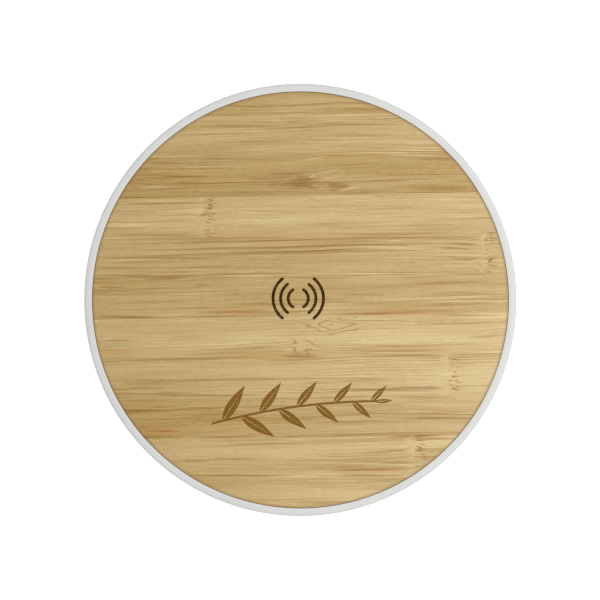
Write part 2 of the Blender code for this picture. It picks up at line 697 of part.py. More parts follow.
def gull_lead_mesh(reach):
    """One bent lead, which leaves the package's side at reach and comes down to the board."""
    outline = [(reach - 0.4, 0.8), (reach + 0.35, 0.8), (reach + 0.5, 0.2), (reach + 1.05, 0.2)]
    outline += [(reach + 1.05, 0), (reach + 0.35, 0), (reach + 0.2, 0.6), (reach - 0.4, 0.6)]
    return upright_slab_mesh("gull_lead", outline, -BRIDGE_LEAD_WIDTH / 2, BRIDGE_LEAD_WIDTH / 2)


def make_bridge_chip(name, x, y, board):
    """A power transistor pair in an eight-lead package."""
    body = box_mesh(name, BRIDGE_SIZE, 0.12)
    body.transform(Matrix.Translation((0, 0, BRIDGE_STANDOFF * MM)))
    chip = place(name, body, "chip_black", (x, y, 0), parent=board)
    lead = gull_lead_mesh(BRIDGE_SIZE[1] / 2)
    leads = []
    for i in range(4):
        at = (x + BRIDGE_LEAD_PITCH * (i - 1.5), y, 0)
        for turn in (90, -90):
            leads.append(place("gull_lead", lead, None, at, turn=turn, parent=board))
    combine(chip, "UNION", leads)


def make_board_parts(pad):
    """Everything soldered to the board's upper side, a little above it."""
    board = empty("board_top", (0, 0, BOARD_TOP + JOINT_GAP), pad)

    x, y = CONTROLLER_AT
    length, width, height = CONTROLLER_SIZE
    mesh = box_mesh("controller_chip", CONTROLLER_SIZE, 0.08)
    chip = place("controller_chip", mesh, "chip_black", (x, y, 0), parent=board)
    mesh = disc_mesh("pin_dimple", PIN_DIMPLE_R, height - PIN_DIMPLE_DEPTH, height + 1, 12)
    at = (x - length / 2 + PIN_DIMPLE_INSET, y + width / 2 - PIN_DIMPLE_INSET, 0)
    combine(chip, "DIFFERENCE", [place("pin_dimple", mesh, None, at, parent=board)])

    for i, (x, y) in enumerate(BRIDGE_PLACES):
        make_bridge_chip(f"bridge_chip_{i + 1}", x, y, board)

    mesh = box_mesh("resonant_capacitor", RESONANT_SIZE, 0.12)
    x, y = RESONANT_AT
    for i in range(4):
        at = (x - RESONANT_PITCH * i, y, 0)
        place(f"resonant_capacitor_{i + 1}", mesh, "ceramic_tan", at, parent=board)
    mesh = box_mesh("supply_capacitor", SUPPLY_CAP_SIZE, 0.1)
    for i, (x, y) in enumerate(SUPPLY_CAP_PLACES):
        place(f"supply_capacitor_{i + 1}", mesh, "ceramic_tan", (x, y, 0), parent=board)

    outline = round_box(INDUCTOR_SIDE, INDUCTOR_SIDE, INDUCTOR_CORNER)
    mesh = slab_mesh("supply_inductor", outline, 0, INDUCTOR_HEIGHT)
    place("supply_inductor", mesh, "ferrite", (*INDUCTOR_AT, 0), parent=board)
    mesh = box_mesh("clock_crystal", CRYSTAL_SIZE, 0.15)
    place("clock_crystal", mesh, "steel", (*CRYSTAL_AT, 0), parent=board)
    mesh = box_mesh("chip_resistor", RESISTOR_SIZE)
    for i, (x, y) in enumerate(RESISTOR_PLACES):
        place(f"chip_resistor_{i + 1}", mesh, "chip_black", (x, y, 0), parent=board)

    # The light faces outwards, into its pipe.
    mesh = box_mesh("status_led", LED_SIZE, 0.1)
    at = polar(LIGHT_PIPE_START_R - 0.1 - LED_SIZE[1] / 2, LIGHT_ANGLE)
    place("status_led", mesh, "led_white", at, turn=LIGHT_ANGLE - 90, parent=board)


def make_light_pipe(pad):
    """A clear rod from the light to the housing's side, where its end is a shallow dome."""
    tip = PAD_R - JOINT_GAP - LIGHT_PIPE_START_R
    outline = [(0, 0), (LIGHT_PIPE_R, 0), (LIGHT_PIPE_R, tip - LIGHT_PIPE_DOME)]
    outline += [(LIGHT_PIPE_R * 0.6, tip - LIGHT_PIPE_DOME * 0.3), (0, tip)]
    mesh = turned_mesh("light_pipe", outline, 16)
    mesh.transform(Matrix.Rotation(radians(90), 4, "Y"))
    at = polar(LIGHT_PIPE_START_R, LIGHT_ANGLE, LIGHT_Z)
    place("light_pipe", mesh, "clear_acrylic", at, turn=LIGHT_ANGLE, parent=pad)


def main():
    clear_scene()
    make_materials()
    pad = empty("pad")
    make_bamboo_top(pad)
    make_top_housing(pad)
    make_base_cover(pad)
    make_feet(pad)
    make_screws(pad)
    make_coil(pad)
    make_thermistor(pad)
    make_board(pad)
    make_socket(pad)
    make_board_parts(pad)
    make_light_pipe(pad)


main()
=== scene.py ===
"""The looks of the round wireless charging pad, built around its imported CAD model.

Lengths are in millimetres and angles in degrees unless a comment says otherwise; MM is one in metres.
+Z is up, +Y points to the charging socket, and the bamboo's grain runs along X.
"""

import json
from math import atan2, cos, degrees, pi, radians, sin

import bmesh
import bpy
from mathutils import Matrix, Vector


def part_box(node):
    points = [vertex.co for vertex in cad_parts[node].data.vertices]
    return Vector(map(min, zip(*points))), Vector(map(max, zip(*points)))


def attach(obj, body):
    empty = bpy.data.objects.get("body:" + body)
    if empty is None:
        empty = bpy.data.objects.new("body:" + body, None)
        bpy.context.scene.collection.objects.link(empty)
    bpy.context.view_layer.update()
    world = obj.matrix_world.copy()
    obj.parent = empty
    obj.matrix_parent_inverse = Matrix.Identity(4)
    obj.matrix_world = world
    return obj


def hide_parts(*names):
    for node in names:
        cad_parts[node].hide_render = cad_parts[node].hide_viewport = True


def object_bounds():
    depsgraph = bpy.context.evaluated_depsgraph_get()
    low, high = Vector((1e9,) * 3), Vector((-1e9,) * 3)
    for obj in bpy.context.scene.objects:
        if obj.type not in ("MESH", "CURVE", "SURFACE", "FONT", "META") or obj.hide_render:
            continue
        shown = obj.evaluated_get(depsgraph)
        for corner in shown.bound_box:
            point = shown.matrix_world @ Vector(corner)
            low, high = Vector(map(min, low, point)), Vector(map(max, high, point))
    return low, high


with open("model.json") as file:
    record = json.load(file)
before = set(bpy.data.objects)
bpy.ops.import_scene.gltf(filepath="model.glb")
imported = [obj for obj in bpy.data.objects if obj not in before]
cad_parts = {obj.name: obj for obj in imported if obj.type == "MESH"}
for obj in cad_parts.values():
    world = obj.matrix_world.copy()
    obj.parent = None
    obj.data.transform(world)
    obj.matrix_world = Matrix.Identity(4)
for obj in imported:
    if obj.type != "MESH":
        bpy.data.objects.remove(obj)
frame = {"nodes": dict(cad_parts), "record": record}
CAD_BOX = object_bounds()

MM = 0.001


def box_mm(node):
    """The lowest and highest corners of a CAD node, in millimetres."""
    low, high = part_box(node)
    return low / MM, high / MM


PAD_LOW, PAD_HIGH = (corner / MM for corner in CAD_BOX)
PAD_R = (PAD_HIGH.x - PAD_LOW.x) / 2
PAD_TOP = PAD_HIGH.z
BAMBOO_BOTTOM = box_mm("bamboo_top")[0].z
BASE_LOW, BASE_HIGH = box_mm("base_cover")
BASE_BOTTOM, LIP_TOP = BASE_LOW.z, BASE_HIGH.z
FEET = [name for name in frame["nodes"] if name.startswith("foot_")]

MERGE = 1e-7  # points closer than this, in metres, are one point
SHARP_ANGLE = 35  # an edge that turns by more is shaded sharp
STEPS = 256  # facets round the housing
BLOCK_EDGE = 0.05
OVERLAP = 0.4  # how far a piece that is joined on starts inside the other
PAST = 1  # how far a cutter reaches past what it cuts

# Upper shell
RIM_ROUND = 0.6
RECESS_R = 48.15
RECESS_EDGE = 0.15
DECK_TOP = 7.4
DECK_BOTTOM = 6.2
WALL_R_IN = 48.2
SEAM_Z = 4.3
SEAM_GAP = 0.2
SEAM_EDGE = 0.15
BOSS_R = 2.6
BOSS_BOTTOM = box_mm("top_housing")[0].z
POST_R = 2.2
POST_BOTTOM = 4.0
PILOT_R = 1.05
PILOT_STOP = 0.1  # how far below the recess floor a pilot hole ends
COIL_RING = (26.4, 27.3, 4.6)  # inner radius, outer radius, bottom
COIL_RING_ANGLES = (112, 428)

# Lower shell
LIP_R_OUT = 47.95
LIP_R_IN = 46.9
LIP_EDGE = 0.15
FLOOR_TOP = 2.0
FLOOR_SLOPE = 2.4  # how far the inner side leans in over the rounded corner
BASE_FLAT_R = 45.0
BASE_SIDE_Z = 3.2
LABEL_R = 16.0
LABEL_DEPTH = 0.2
BASE_BOSS_R = 3.6
BOSS_SPLIT_Z = 3.3
FOOT_RECESS_R = 5.3
FOOT_RECESS_TOP = 1.2
HEAD_HOLE_R = 2.05
HEAD_HOLE_TOP = 2.3
SCREW_HOLE_R = 1.15
VENT_SIZE = (13.0, 1.2)
VENT_ROWS = (29.6, 32.4, 35.2)
VENT_FLARE = 0.25
RIB_SIZE = (12.0, 1.2)
RIB_R = 14.0
RIB_TOP = 3.9
RIB_ANGLES = (0, 120, 180, 240, 300)

# Feet
FOOT_ROUND = 0.4
FOOT_EDGE = 0.08

# Bamboo disc and its engraving
BAMBOO_R = 48.06
BAMBOO_EDGE = 0.12
BAMBOO_LOWER_EDGE = 0.05
SYMBOL_CENTRE = (-0.5, 0.35)
SYMBOL_RADII = (2.32, 4.08, 5.83)
SYMBOL_HALF_ANGLES = (58, 53, 51)
SYMBOL_STROKE = 0.7
SYMBOL_DEPTH = 0.25
SPRIG_START = (-20.5, -28.6)
SPRIG_SPAN = 38.5
SPRIG_RISE = 5.2
SPRIG_STROKE = 0.5
SPRIG_LEAVES = 9
LEAF_LONGEST = 9.6
LEAF_SHORTEST = 5.2
LEAF_SPREAD = 44
LEAF_SLENDERNESS = 0.13
LEAF_SKEW = 0.75  # under 1, so that a leaf is widest nearer its base
TIP_LEAF_START = (-0.6, -0.1)  # from the stem's end
TIP_LEAF_ANGLE = 4
TIP_LEAF_LENGTH = 0.75 * LEAF_SHORTEST
SPRIG_DEPTH = 0.12
MIDRIB = 0.12  # half the width of the uncut line down a leaf's middle
ENGRAVED_SLOPE = 0.04  # how far a groove's side leans out, from its floor to its mouth
CUT_ABOVE = 0.1  # an engraving cutter's height above the wood

# Socket
SOCKET_WIDTH = 8.94
SOCKET_HEIGHT = 3.16
SOCKET_WALL = 0.28
SOCKET_STEPS = 20  # facets round each end
SOCKET_Z = SEAM_Z
PORT_CLEARANCE = 0.25
PORT_START_R = 42.9  # where the cuts for the port and the light start
MOUTH_FLARE = 0.3  # of the housing round the port and round the light
BACK_EDGE = ((0, 0.25), (0.07, 0.07), (0.25, 0))  # the shell's rounded back, as (forwards, inwards)
WING_BACKS = (-7.7, -5.0)  # the solder wings' middles, behind the mouth
WING_SIZE = (1.5, 0.3)
WING_BOTTOM = 4.0
WING_OVERLAP = 0.7  # how far a wing starts inside the shell, before the shell is cleared
HOLLOW_FRONT = 1  # how far behind the mouth that clearing ends
TONGUE_SIZE = (6.7, 0.7)
TONGUE_ROUND = 0.05  # how far the tongue's side is from a full half round
TONGUE_ROOT = 2.0  # how deep the moulding is that carries the tongue
TONGUE_TIP = 0.3  # how long the tongue's tapered end is
TONGUE_TAPER = (0.4, 0.3)  # how much narrower and thinner the tongue ends
TIP_OVERLAP = 0.05  # how far the tapered end starts inside the rest of the tongue
CONTACTS = 12
CONTACT_PITCH = 0.5
CONTACT_SIZE = (0.26, 3.2, 0.03)
CONTACT_SUNK = 0.005  # how deep a contact lies in the tongue
CONTACT_INSET = 2.2  # from the tongue's tip to a contact's middle

# Status light
LIGHT_ANGLE = 66
LIGHT_Z = 5.0
LIGHT_PIPE_R = 0.95
LIGHT_HOLE_R = 1.1
LIGHT_PIPE_START_R = 45.2
LIGHT_PIPE_EDGE = 0.08
LIGHT_PIPE_DOME = 0.2
LIGHT_PIPE_INSET = 0.05

# Studio
LENS = 200
SENSOR = 36
PICTURE_WIDTH = 138.76
PICTURE_CENTRE = (-0.09, -0.02)
KEY_AT = (0.17, 0.0, 0.34)  # metres
KEY_SIZE = 0.3  # metres
KEY_POWER = 0.72
KEY_TINT = (1.0, 0.985, 0.96)
AMBIENT = 0.745
AMBIENT_TINT = (0.97, 0.985, 1, 1)
FLOOR_HALF = 3  # metres
FLOOR_DROP = 0.02  # keeps the floor clear of the feet
FLOOR_GLOW = (0.22, 0.65)  # as the camera sees it from low down, and from straight above
FLOOR_BOUNCE = (0.12, 0.5)  # what it adds to the light on the pad, seen from above and from below
BACKDROP = (0.797, 0.806, 0.814, 1)


# ---------------------------------------------------------------- geometry


def arc(x, y, radius, start, end, steps):
    """Points from angle start to angle end, ends included."""
    angles = [radians(start + (end - start) * i / steps) for i in range(steps + 1)]
    return [(x + radius * cos(a), y + radius * sin(a)) for a in angles]


def stadium(width, height, steps):
    """The outline of a slot with round ends, centred on the origin."""
    r = height / 2
    reach = width / 2 - r
    return arc(reach, 0, r, -90, 90, steps) + arc(-reach, 0, r, 90, 270, steps)


def round_box(width, depth, radius, steps=6):
    """The outline of a rectangle with rounded corners."""
    x, y = width / 2 - radius, depth / 2 - radius
    corners = ((x, y, 0), (-x, y, 90), (-x, -y, 180), (x, -y, 270))
    return [p for cx, cy, a in corners for p in arc(cx, cy, radius, a, a + 90, steps)]


def polar(radius, angle):
    return radius * cos(radians(angle)), radius * sin(radians(angle))


def new_mesh(name, bm):
    bmesh.ops.remove_doubles(bm, verts=bm.verts, dist=MERGE)
    bmesh.ops.recalc_face_normals(bm, faces=bm.faces)
    mesh = bpy.data.meshes.new(name)
    bm.to_mesh(mesh)
    bm.free()
    return mesh


def new_object(name, mesh):
    made = bpy.data.objects.new(name, mesh)
    bpy.context.scene.collection.objects.link(made)
    return made


def skinned(name, rings):
    """A solid through rings of points, with a flat cap on its first ring and on its last."""
    bm = bmesh.new()
    rings = [[bm.verts.new(Vector(point) * MM) for point in ring] for ring in rings]
    bm.faces.new(rings[0])
    bm.faces.new(rings[-1])
    for near, far in zip(rings, rings[1:]):
        for i in range(len(near)):
            bm.faces.new((near[i - 1], near[i], far[i], far[i - 1]))
    return new_object(name, new_mesh(name, bm))


def turned(name, outline, steps=STEPS, at=(0, 0, 0)):
    """A solid turned about Z from (radius, height) points, with a flat round face at either end."""
    circle = arc(0, 0, 1, 0, 360, steps)[:-1]
    rings = [[(x * r, y * r, z) for x, y in circle] for r, z in outline]
    return shifted(skinned(name, rings), *at)


def slab(name, outline, low, high, low_outline=None):
    """A plate from an outline of (x, y) points. It tapers if its lower outline is another one."""
    below = [(x, y, low) for x, y in low_outline or outline]
    above = [(x, y, high) for x, y in outline]
    return skinned(name, [below, above])


def upright(piece, z):
    """Stands a slab up, so that its outline lies in XZ, centred at height z, and its top faces +Y."""
    piece.data.transform(Matrix(((1, 0, 0, 0), (0, 0, 1, 0), (0, 1, 0, z * MM), (0, 0, 0, 1))))
    piece.data.flip_normals()
    return piece


def shifted(piece, x=0.0, y=0.0, z=0.0, turn=0.0):
    """Turns a piece about Z, then moves it."""
    move = Matrix.Translation(Vector((x, y, z)) * MM)
    piece.data.transform(move @ Matrix.Rotation(radians(turn), 4, "Z"))
    return piece


def block(name, size, at, turn=0.0):
    """A box with softened upright edges, standing on a point."""
    width, depth, height = size
    return shifted(slab(name, round_box(width, depth, BLOCK_EDGE, steps=1), 0, height), *at, turn=turn)


def combined(target, operation, tools):
    """Joins the tools to target or cuts them from it, and removes them."""
    group = bpy.data.collections.new("tools")
    bpy.context.scene.collection.children.link(group)
    for tool in tools:
        bpy.context.scene.collection.objects.unlink(tool)
        group.objects.link(tool)
    modifier = target.modifiers.new("Cut", "BOOLEAN")
    modifier.operation = operation
    modifier.operand_type = "COLLECTION"
    modifier.collection = group
    modifier.solver = "EXACT"
    cut = target.evaluated_get(bpy.context.evaluated_depsgraph_get())
    shaped = bpy.data.meshes.new_from_object(cut)
    target.modifiers.clear()
    target.data = shaped
    for tool in tools:
        bpy.data.objects.remove(tool)
    bpy.data.collections.remove(group)


def hand_over(piece, look, slot, *nodes):
    """Shades a finished piece, gives it its material, and hides the CAD nodes that it stands for."""
    piece.data.shade_smooth()
    piece.data.set_sharp_from_angle(angle=radians(SHARP_ANGLE))
    piece.data.materials.clear()
    piece.data.materials.append(LOOKS[look])
    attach(piece, "root")
    if nodes:
        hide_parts(*nodes)


# ---------------------------------------------------------------- materials


class Look:
    """A node material, with short ways to add to it. Its coordinates are in millimetres."""

    def __init__(self, name, metallic=0.0):
        self.material = bpy.data.materials.new(name)
        self.material.use_nodes = True
        self.tree = self.material.node_tree
        self.shader = self.tree.nodes["Principled BSDF"]
        self.shader.inputs["Metallic"].default_value = metallic
        place = self.add("ShaderNodeTexCoord").outputs["Object"]
        scaled = self.add("ShaderNodeVectorMath", {"operation": "SCALE"}, Vector=place, Scale=1 / MM)
        self.place = scaled.outputs[0]
        split = self.add("ShaderNodeSeparateXYZ", Vector=self.place)
        self.x, self.y, self.z = split.outputs

    def add(self, kind, settings=None, **inputs):
        """A new node, with its settings, and values or links for its inputs."""
        node = self.tree.nodes.new(kind)
        for name, value in (settings or {}).items():
            setattr(node, name, value)
        for name, value in inputs.items():
            self.feed(node.inputs[name], value)
        return node

    def feed(self, socket, value):
        """Gives an input a value, or links it to another node's output."""
        if isinstance(value, bpy.types.NodeSocket):
            self.tree.links.new(value, socket)
        else:
            socket.default_value = value

    def set(self, **inputs):
        """Feeds the surface shader's inputs; _ stands for a space in their names."""
        for name, value in inputs.items():
            self.feed(self.shader.inputs[name.replace("_", " ")], value)

    def math(self, operation, *values):
        node = self.add("ShaderNodeMath", {"operation": operation})
        for socket, value in zip(node.inputs, values):
            self.feed(socket, value)
        return node.outputs[0]

    def vectors(self, operation, *values):
        """Vector maths; SCALE takes a vector and a number, and DOT_PRODUCT gives a number."""
        node = self.add("ShaderNodeVectorMath", {"operation": operation})
        sockets = [socket for socket in node.inputs if socket.enabled]
        for socket, value in zip(sockets, values):
            self.feed(socket, value)
        return node.outputs["Value" if operation == "DOT_PRODUCT" else "Vector"]

    def plus(self, a, b):
        return self.math("ADD", a, b)

    def minus(self, a, b):
        return self.math("SUBTRACT", a, b)

    def times(self, a, b):
        return self.math("MULTIPLY", a, b)

    def length(self, x, y):
        return self.math("SQRT", self.plus(self.times(x, x), self.times(y, y)))

    def near(self, value, centre, reach):
        """1 at centre, falling smoothly to 0 at reach on either side."""
        return self.ramp(self.math("ABSOLUTE", self.minus(value, centre)), reach, 0)

    def swayed(self, value, noise, by):
        """value, moved up or down where the noise is over or under its middle."""
        return self.plus(value, self.times(self.minus(noise, 0.5), by))

    def ramp(self, value, low, high, to_low=0.0, to_high=1.0):
        """Smoothly from to_low, where value is low, to to_high, where it is high."""
        node = self.add("ShaderNodeMapRange", {"interpolation_type": "SMOOTHSTEP"}, Value=value)
        if low > high:
            low, high, to_low, to_high = high, low, to_high, to_low
        for name, number in zip(("From Min", "From Max", "To Min", "To Max"), (low, high, to_low, to_high)):
            self.feed(node.inputs[name], number)
        return node.outputs[0]

    def vector(self, x, y, z=0.0):
        return self.add("ShaderNodeCombineXYZ", X=x, Y=y, Z=z).outputs[0]

    def noise(self, place, detail=2.0, roughness=0.5, scale=1.0):
        node = self.add("ShaderNodeTexNoise", Vector=place, Detail=detail, Roughness=roughness, Scale=scale)
        return node.outputs[0]

    def mix(self, share, a, b):
        """Colour a where share is 0, and b where it is 1."""
        node = self.add("ShaderNodeMix", {"data_type": "RGBA"})
        for socket, value in zip((node.inputs[0], node.inputs[6], node.inputs[7]), (share, a, b)):
            self.feed(socket, value)
        return node.outputs[2]

    def stretched_noise(self, x, y, x_rate, y_rate, seed=0.0, detail=2.0, roughness=0.5):
        """Noise with about x_rate and y_rate features to a millimetre along x and y."""
        place = self.vector(self.times(x, x_rate), self.times(y, y_rate), seed)
        return self.noise(place, detail, roughness)

    def bump(self, height, strength, distance):
        """A bump from height; distance in millimetres is how far apart its 0 and 1 are."""
        node = self.add("ShaderNodeBump", Height=height, Strength=strength, Distance=distance * MM)
        self.set(Normal=node.outputs[0])


def srgb(red, green, blue):
    """A colour from its 0 to 255 values, as a linear one."""
    channels = [c / 255 for c in (red, green, blue)]
    return (*[c / 12.92 if c <= 0.04045 else ((c + 0.055) / 1.055) ** 2.4 for c in channels], 1)


# Bamboo is glued up from strips that run along the grain.
STRIP_PITCH = 9.31
STRIP_START = -50.31  # lower edge of the first strip
STRIP_ROOM = 16.0  # how many strips the ramp of their values has room for
STRIPS = (  # tone, from 0, brown, to 1, pale; how much warm stain; how many dark lines
    (0.75, 0.2, 0.3),
    (0.72, 0.2, 0.6),
    (0.30, 0.9, 0.8),
    (0.78, 0.2, 0.7),
    (0.88, 0.2, 0.4),
    (0.36, 0.4, 0.8),
    (0.52, 0.3, 1.0),
    (0.68, 0.0, 0.3),
    (0.02, 0.8, 0.8),
    (0.58, 0.1, 0.5),
    (0.12, 0.3, 0.6),
)
GRAIN_TILT = 0.018  # rise over run
STRIP_SHIFT = 61.7  # moves each strip's grain on from the last one's
BROWN, PALE = srgb(168, 138, 79), srgb(200, 176, 125)
LINE_BROWN, WARM_BROWN = srgb(136, 94, 32), srgb(182, 134, 66)
KNOT_BROWN, HIGHLIGHT = srgb(138, 94, 36), srgb(214, 190, 138)
BURN_DEEP, BURN_LIGHT = srgb(52, 24, 4), srgb(122, 84, 28)
BAMBOO_NODES = ((-22.7, 7), (42.3, 6), (34.0, 3), (26.0, 1))  # (x, strip)
NODE_AREAS = ((-0.6, 2.4), (1.7, 2.4), (0.0, 0.8))  # (middle, reach) of the calm, the dashes, the ridge
BURN_SPLIT = (-12.0, -11.0)  # the sprig below is burnt lightly, and the symbol above deeply
TONED_RIM = (47.3, 48.0)  # the disc's rim darkens between these radii
SWIRLS = ((7.5, -5.8, 8.5, 2.6), (0.5, -10.6, 6.5, 2.6))  # curled grain, as (x, y, length, width)
KNOTS = (  # (x, y, length, width, darkness)
    (-2.0, 27.8, 10.0, 3.0, 0.45),
    (0.8, 27.2, 4.2, 1.6, 0.9),
    (8.6, 26.3, 3.2, 1.2, 0.85),
    (-22.0, 19.9, 1.6, 0.9, 0.5),
)
# The longest fibres, each as (x, y, x, y, strength) from one point to another. They go in threes.
DARK_FIBRES = (
    (-27, 40.1, 0, 40.1, 0.6), (0, 40.5, 24, 40.6, 0.55), (4, 38.1, 24, 38.0, 0.4),
    (-25, 32.6, -13, 32.7, 0.45), (-36, 31.6, -25, 31.5, 0.5), (-37, 28.7, -24, 28.8, 0.4),
    (-30, 27.3, -22, 27.4, 0.5), (-38, 25.6, -24, 25.7, 0.5), (-42, 22.2, -18, 22.4, 0.6),
    (9, 27.2, 26, 27.4, 0.5), (27, 25.5, 42, 25.8, 0.45), (-2, 17.2, 11, 17.5, 0.35),
    (-46, 15.1, -22, 14.8, 0.5), (4, 15.1, 40, 15.6, 0.5), (-46, 13.8, 0, 14.6, 0.45),
    (-47, 12.7, 36, 14.8, 0.8), (-47, 11.2, 33, 13.1, 0.8), (33, 13.1, 42, 12.7, 0.8),
    (-47, 9.8, 32, 12.2, 0.7), (32, 12.2, 41, 11.4, 0.7), (0, 11.0, 30, 11.5, 0.5),
    (-47, 5.0, -20, 5.7, 0.7), (20, 5.1, 37, 5.4, 0.45), (22, 3.6, 45, 4.3, 0.55),
    (-47, 2.9, -40, 3.0, 0.6), (-38, 2.5, -28, 2.8, 0.4), (-25, 3.4, -20, 3.5, 0.6),
    (8, 1.2, 21, 1.4, 0.45), (-46, -0.8, -18, 0.1, 0.5), (22, -1.5, 48, -0.9, 0.65),
    (-46, -2.5, -5, -1.4, 0.4), (-25, -3.0, -8, -2.5, 0.75), (-48, -3.9, -29, -4.0, 0.75),
    (8, -3.2, 30, -3.0, 0.9), (22, -2.7, 38, -2.3, 0.5), (28, -3.4, 47, -3.6, 0.5),
    (38, -8.7, 47, -8.3, 0.55), (-46, -9.5, -38, -9.3, 0.5), (8, -11.2, 46, -10.0, 0.5),
    (-18, -11.2, -5, -10.7, 0.5), (12, -12.0, 37, -11.5, 0.5), (-28, -12.8, -10, -11.9, 0.6),
    (-4, -12.3, 4, -12.6, 0.8), (10, -13.2, 37, -12.7, 0.7), (-6, -12.9, 6, -13.3, 0.9),
    (-46, -14.0, -5, -13.3, 0.9), (-43, -18.9, 28, -17.9, 0.5), (0, -20.5, 32, -21.0, 0.7),
    (-42, -21.9, -5, -22.2, 0.7), (20, -22.6, 37, -22.5, 0.5), (-41, -23.2, -27, -22.9, 0.5),
    (25, -26.3, 40, -25.9, 0.5), (22, -27.8, 39, -26.9, 0.5), (-37, -30.4, -27, -30.3, 0.8),
    (18, -31.8, 36, -31.0, 0.9), (24, -32.1, 36, -31.9, 0.6), (-25, -31.8, -9, -31.5, 0.6),
    (-30, -37.2, -20, -37.1, 0.6), (-22, -36.8, -9, -36.7, 0.6), (18, -37.7, 27, -37.5, 0.5),
    (13, -35.6, 25, -34.7, 0.5), (3, -39.5, 27, -39.0, 0.9), (-27, -40.7, 0, -40.5, 0.95),
)
WARM_FIBRES = (
    (-46, 13.8, 40, 14.8, 0.5), (-25, -2.8, -6, -2.4, 0.7), (6, -3.1, 42, -2.9, 0.7),
    (-48, -12.0, -38, -12.0, 0.8), (-22, -12.2, 8, -12.8, 0.8), (6, -11.6, 46, -11.0, 0.7),
    (-40, -30.4, -24, -30.3, 0.8), (14, -31.9, 38, -31.3, 0.6), (4, -39.5, 28, -39.3, 0.9),
)
PALE_FIBRES = (
    (2.5, 28.8, 10, 30.5, 0.5), (4, 27.8, 10, 28.7, 0.45), (2, 28.2, 3.4, 28.9, 0.7),
    (8.5, 25.1, 14, 26.3, 0.55), (-1, 32.0, 7, 33.3, 0.4), (18, 33.5, 34, 33.4, 0.6),
    (-38, 25.9, -29, 26.1, 0.5), (-40, 22.9, -25, 23.0, 0.5), (9, -4.2, 22, -4.6, 0.5),
)


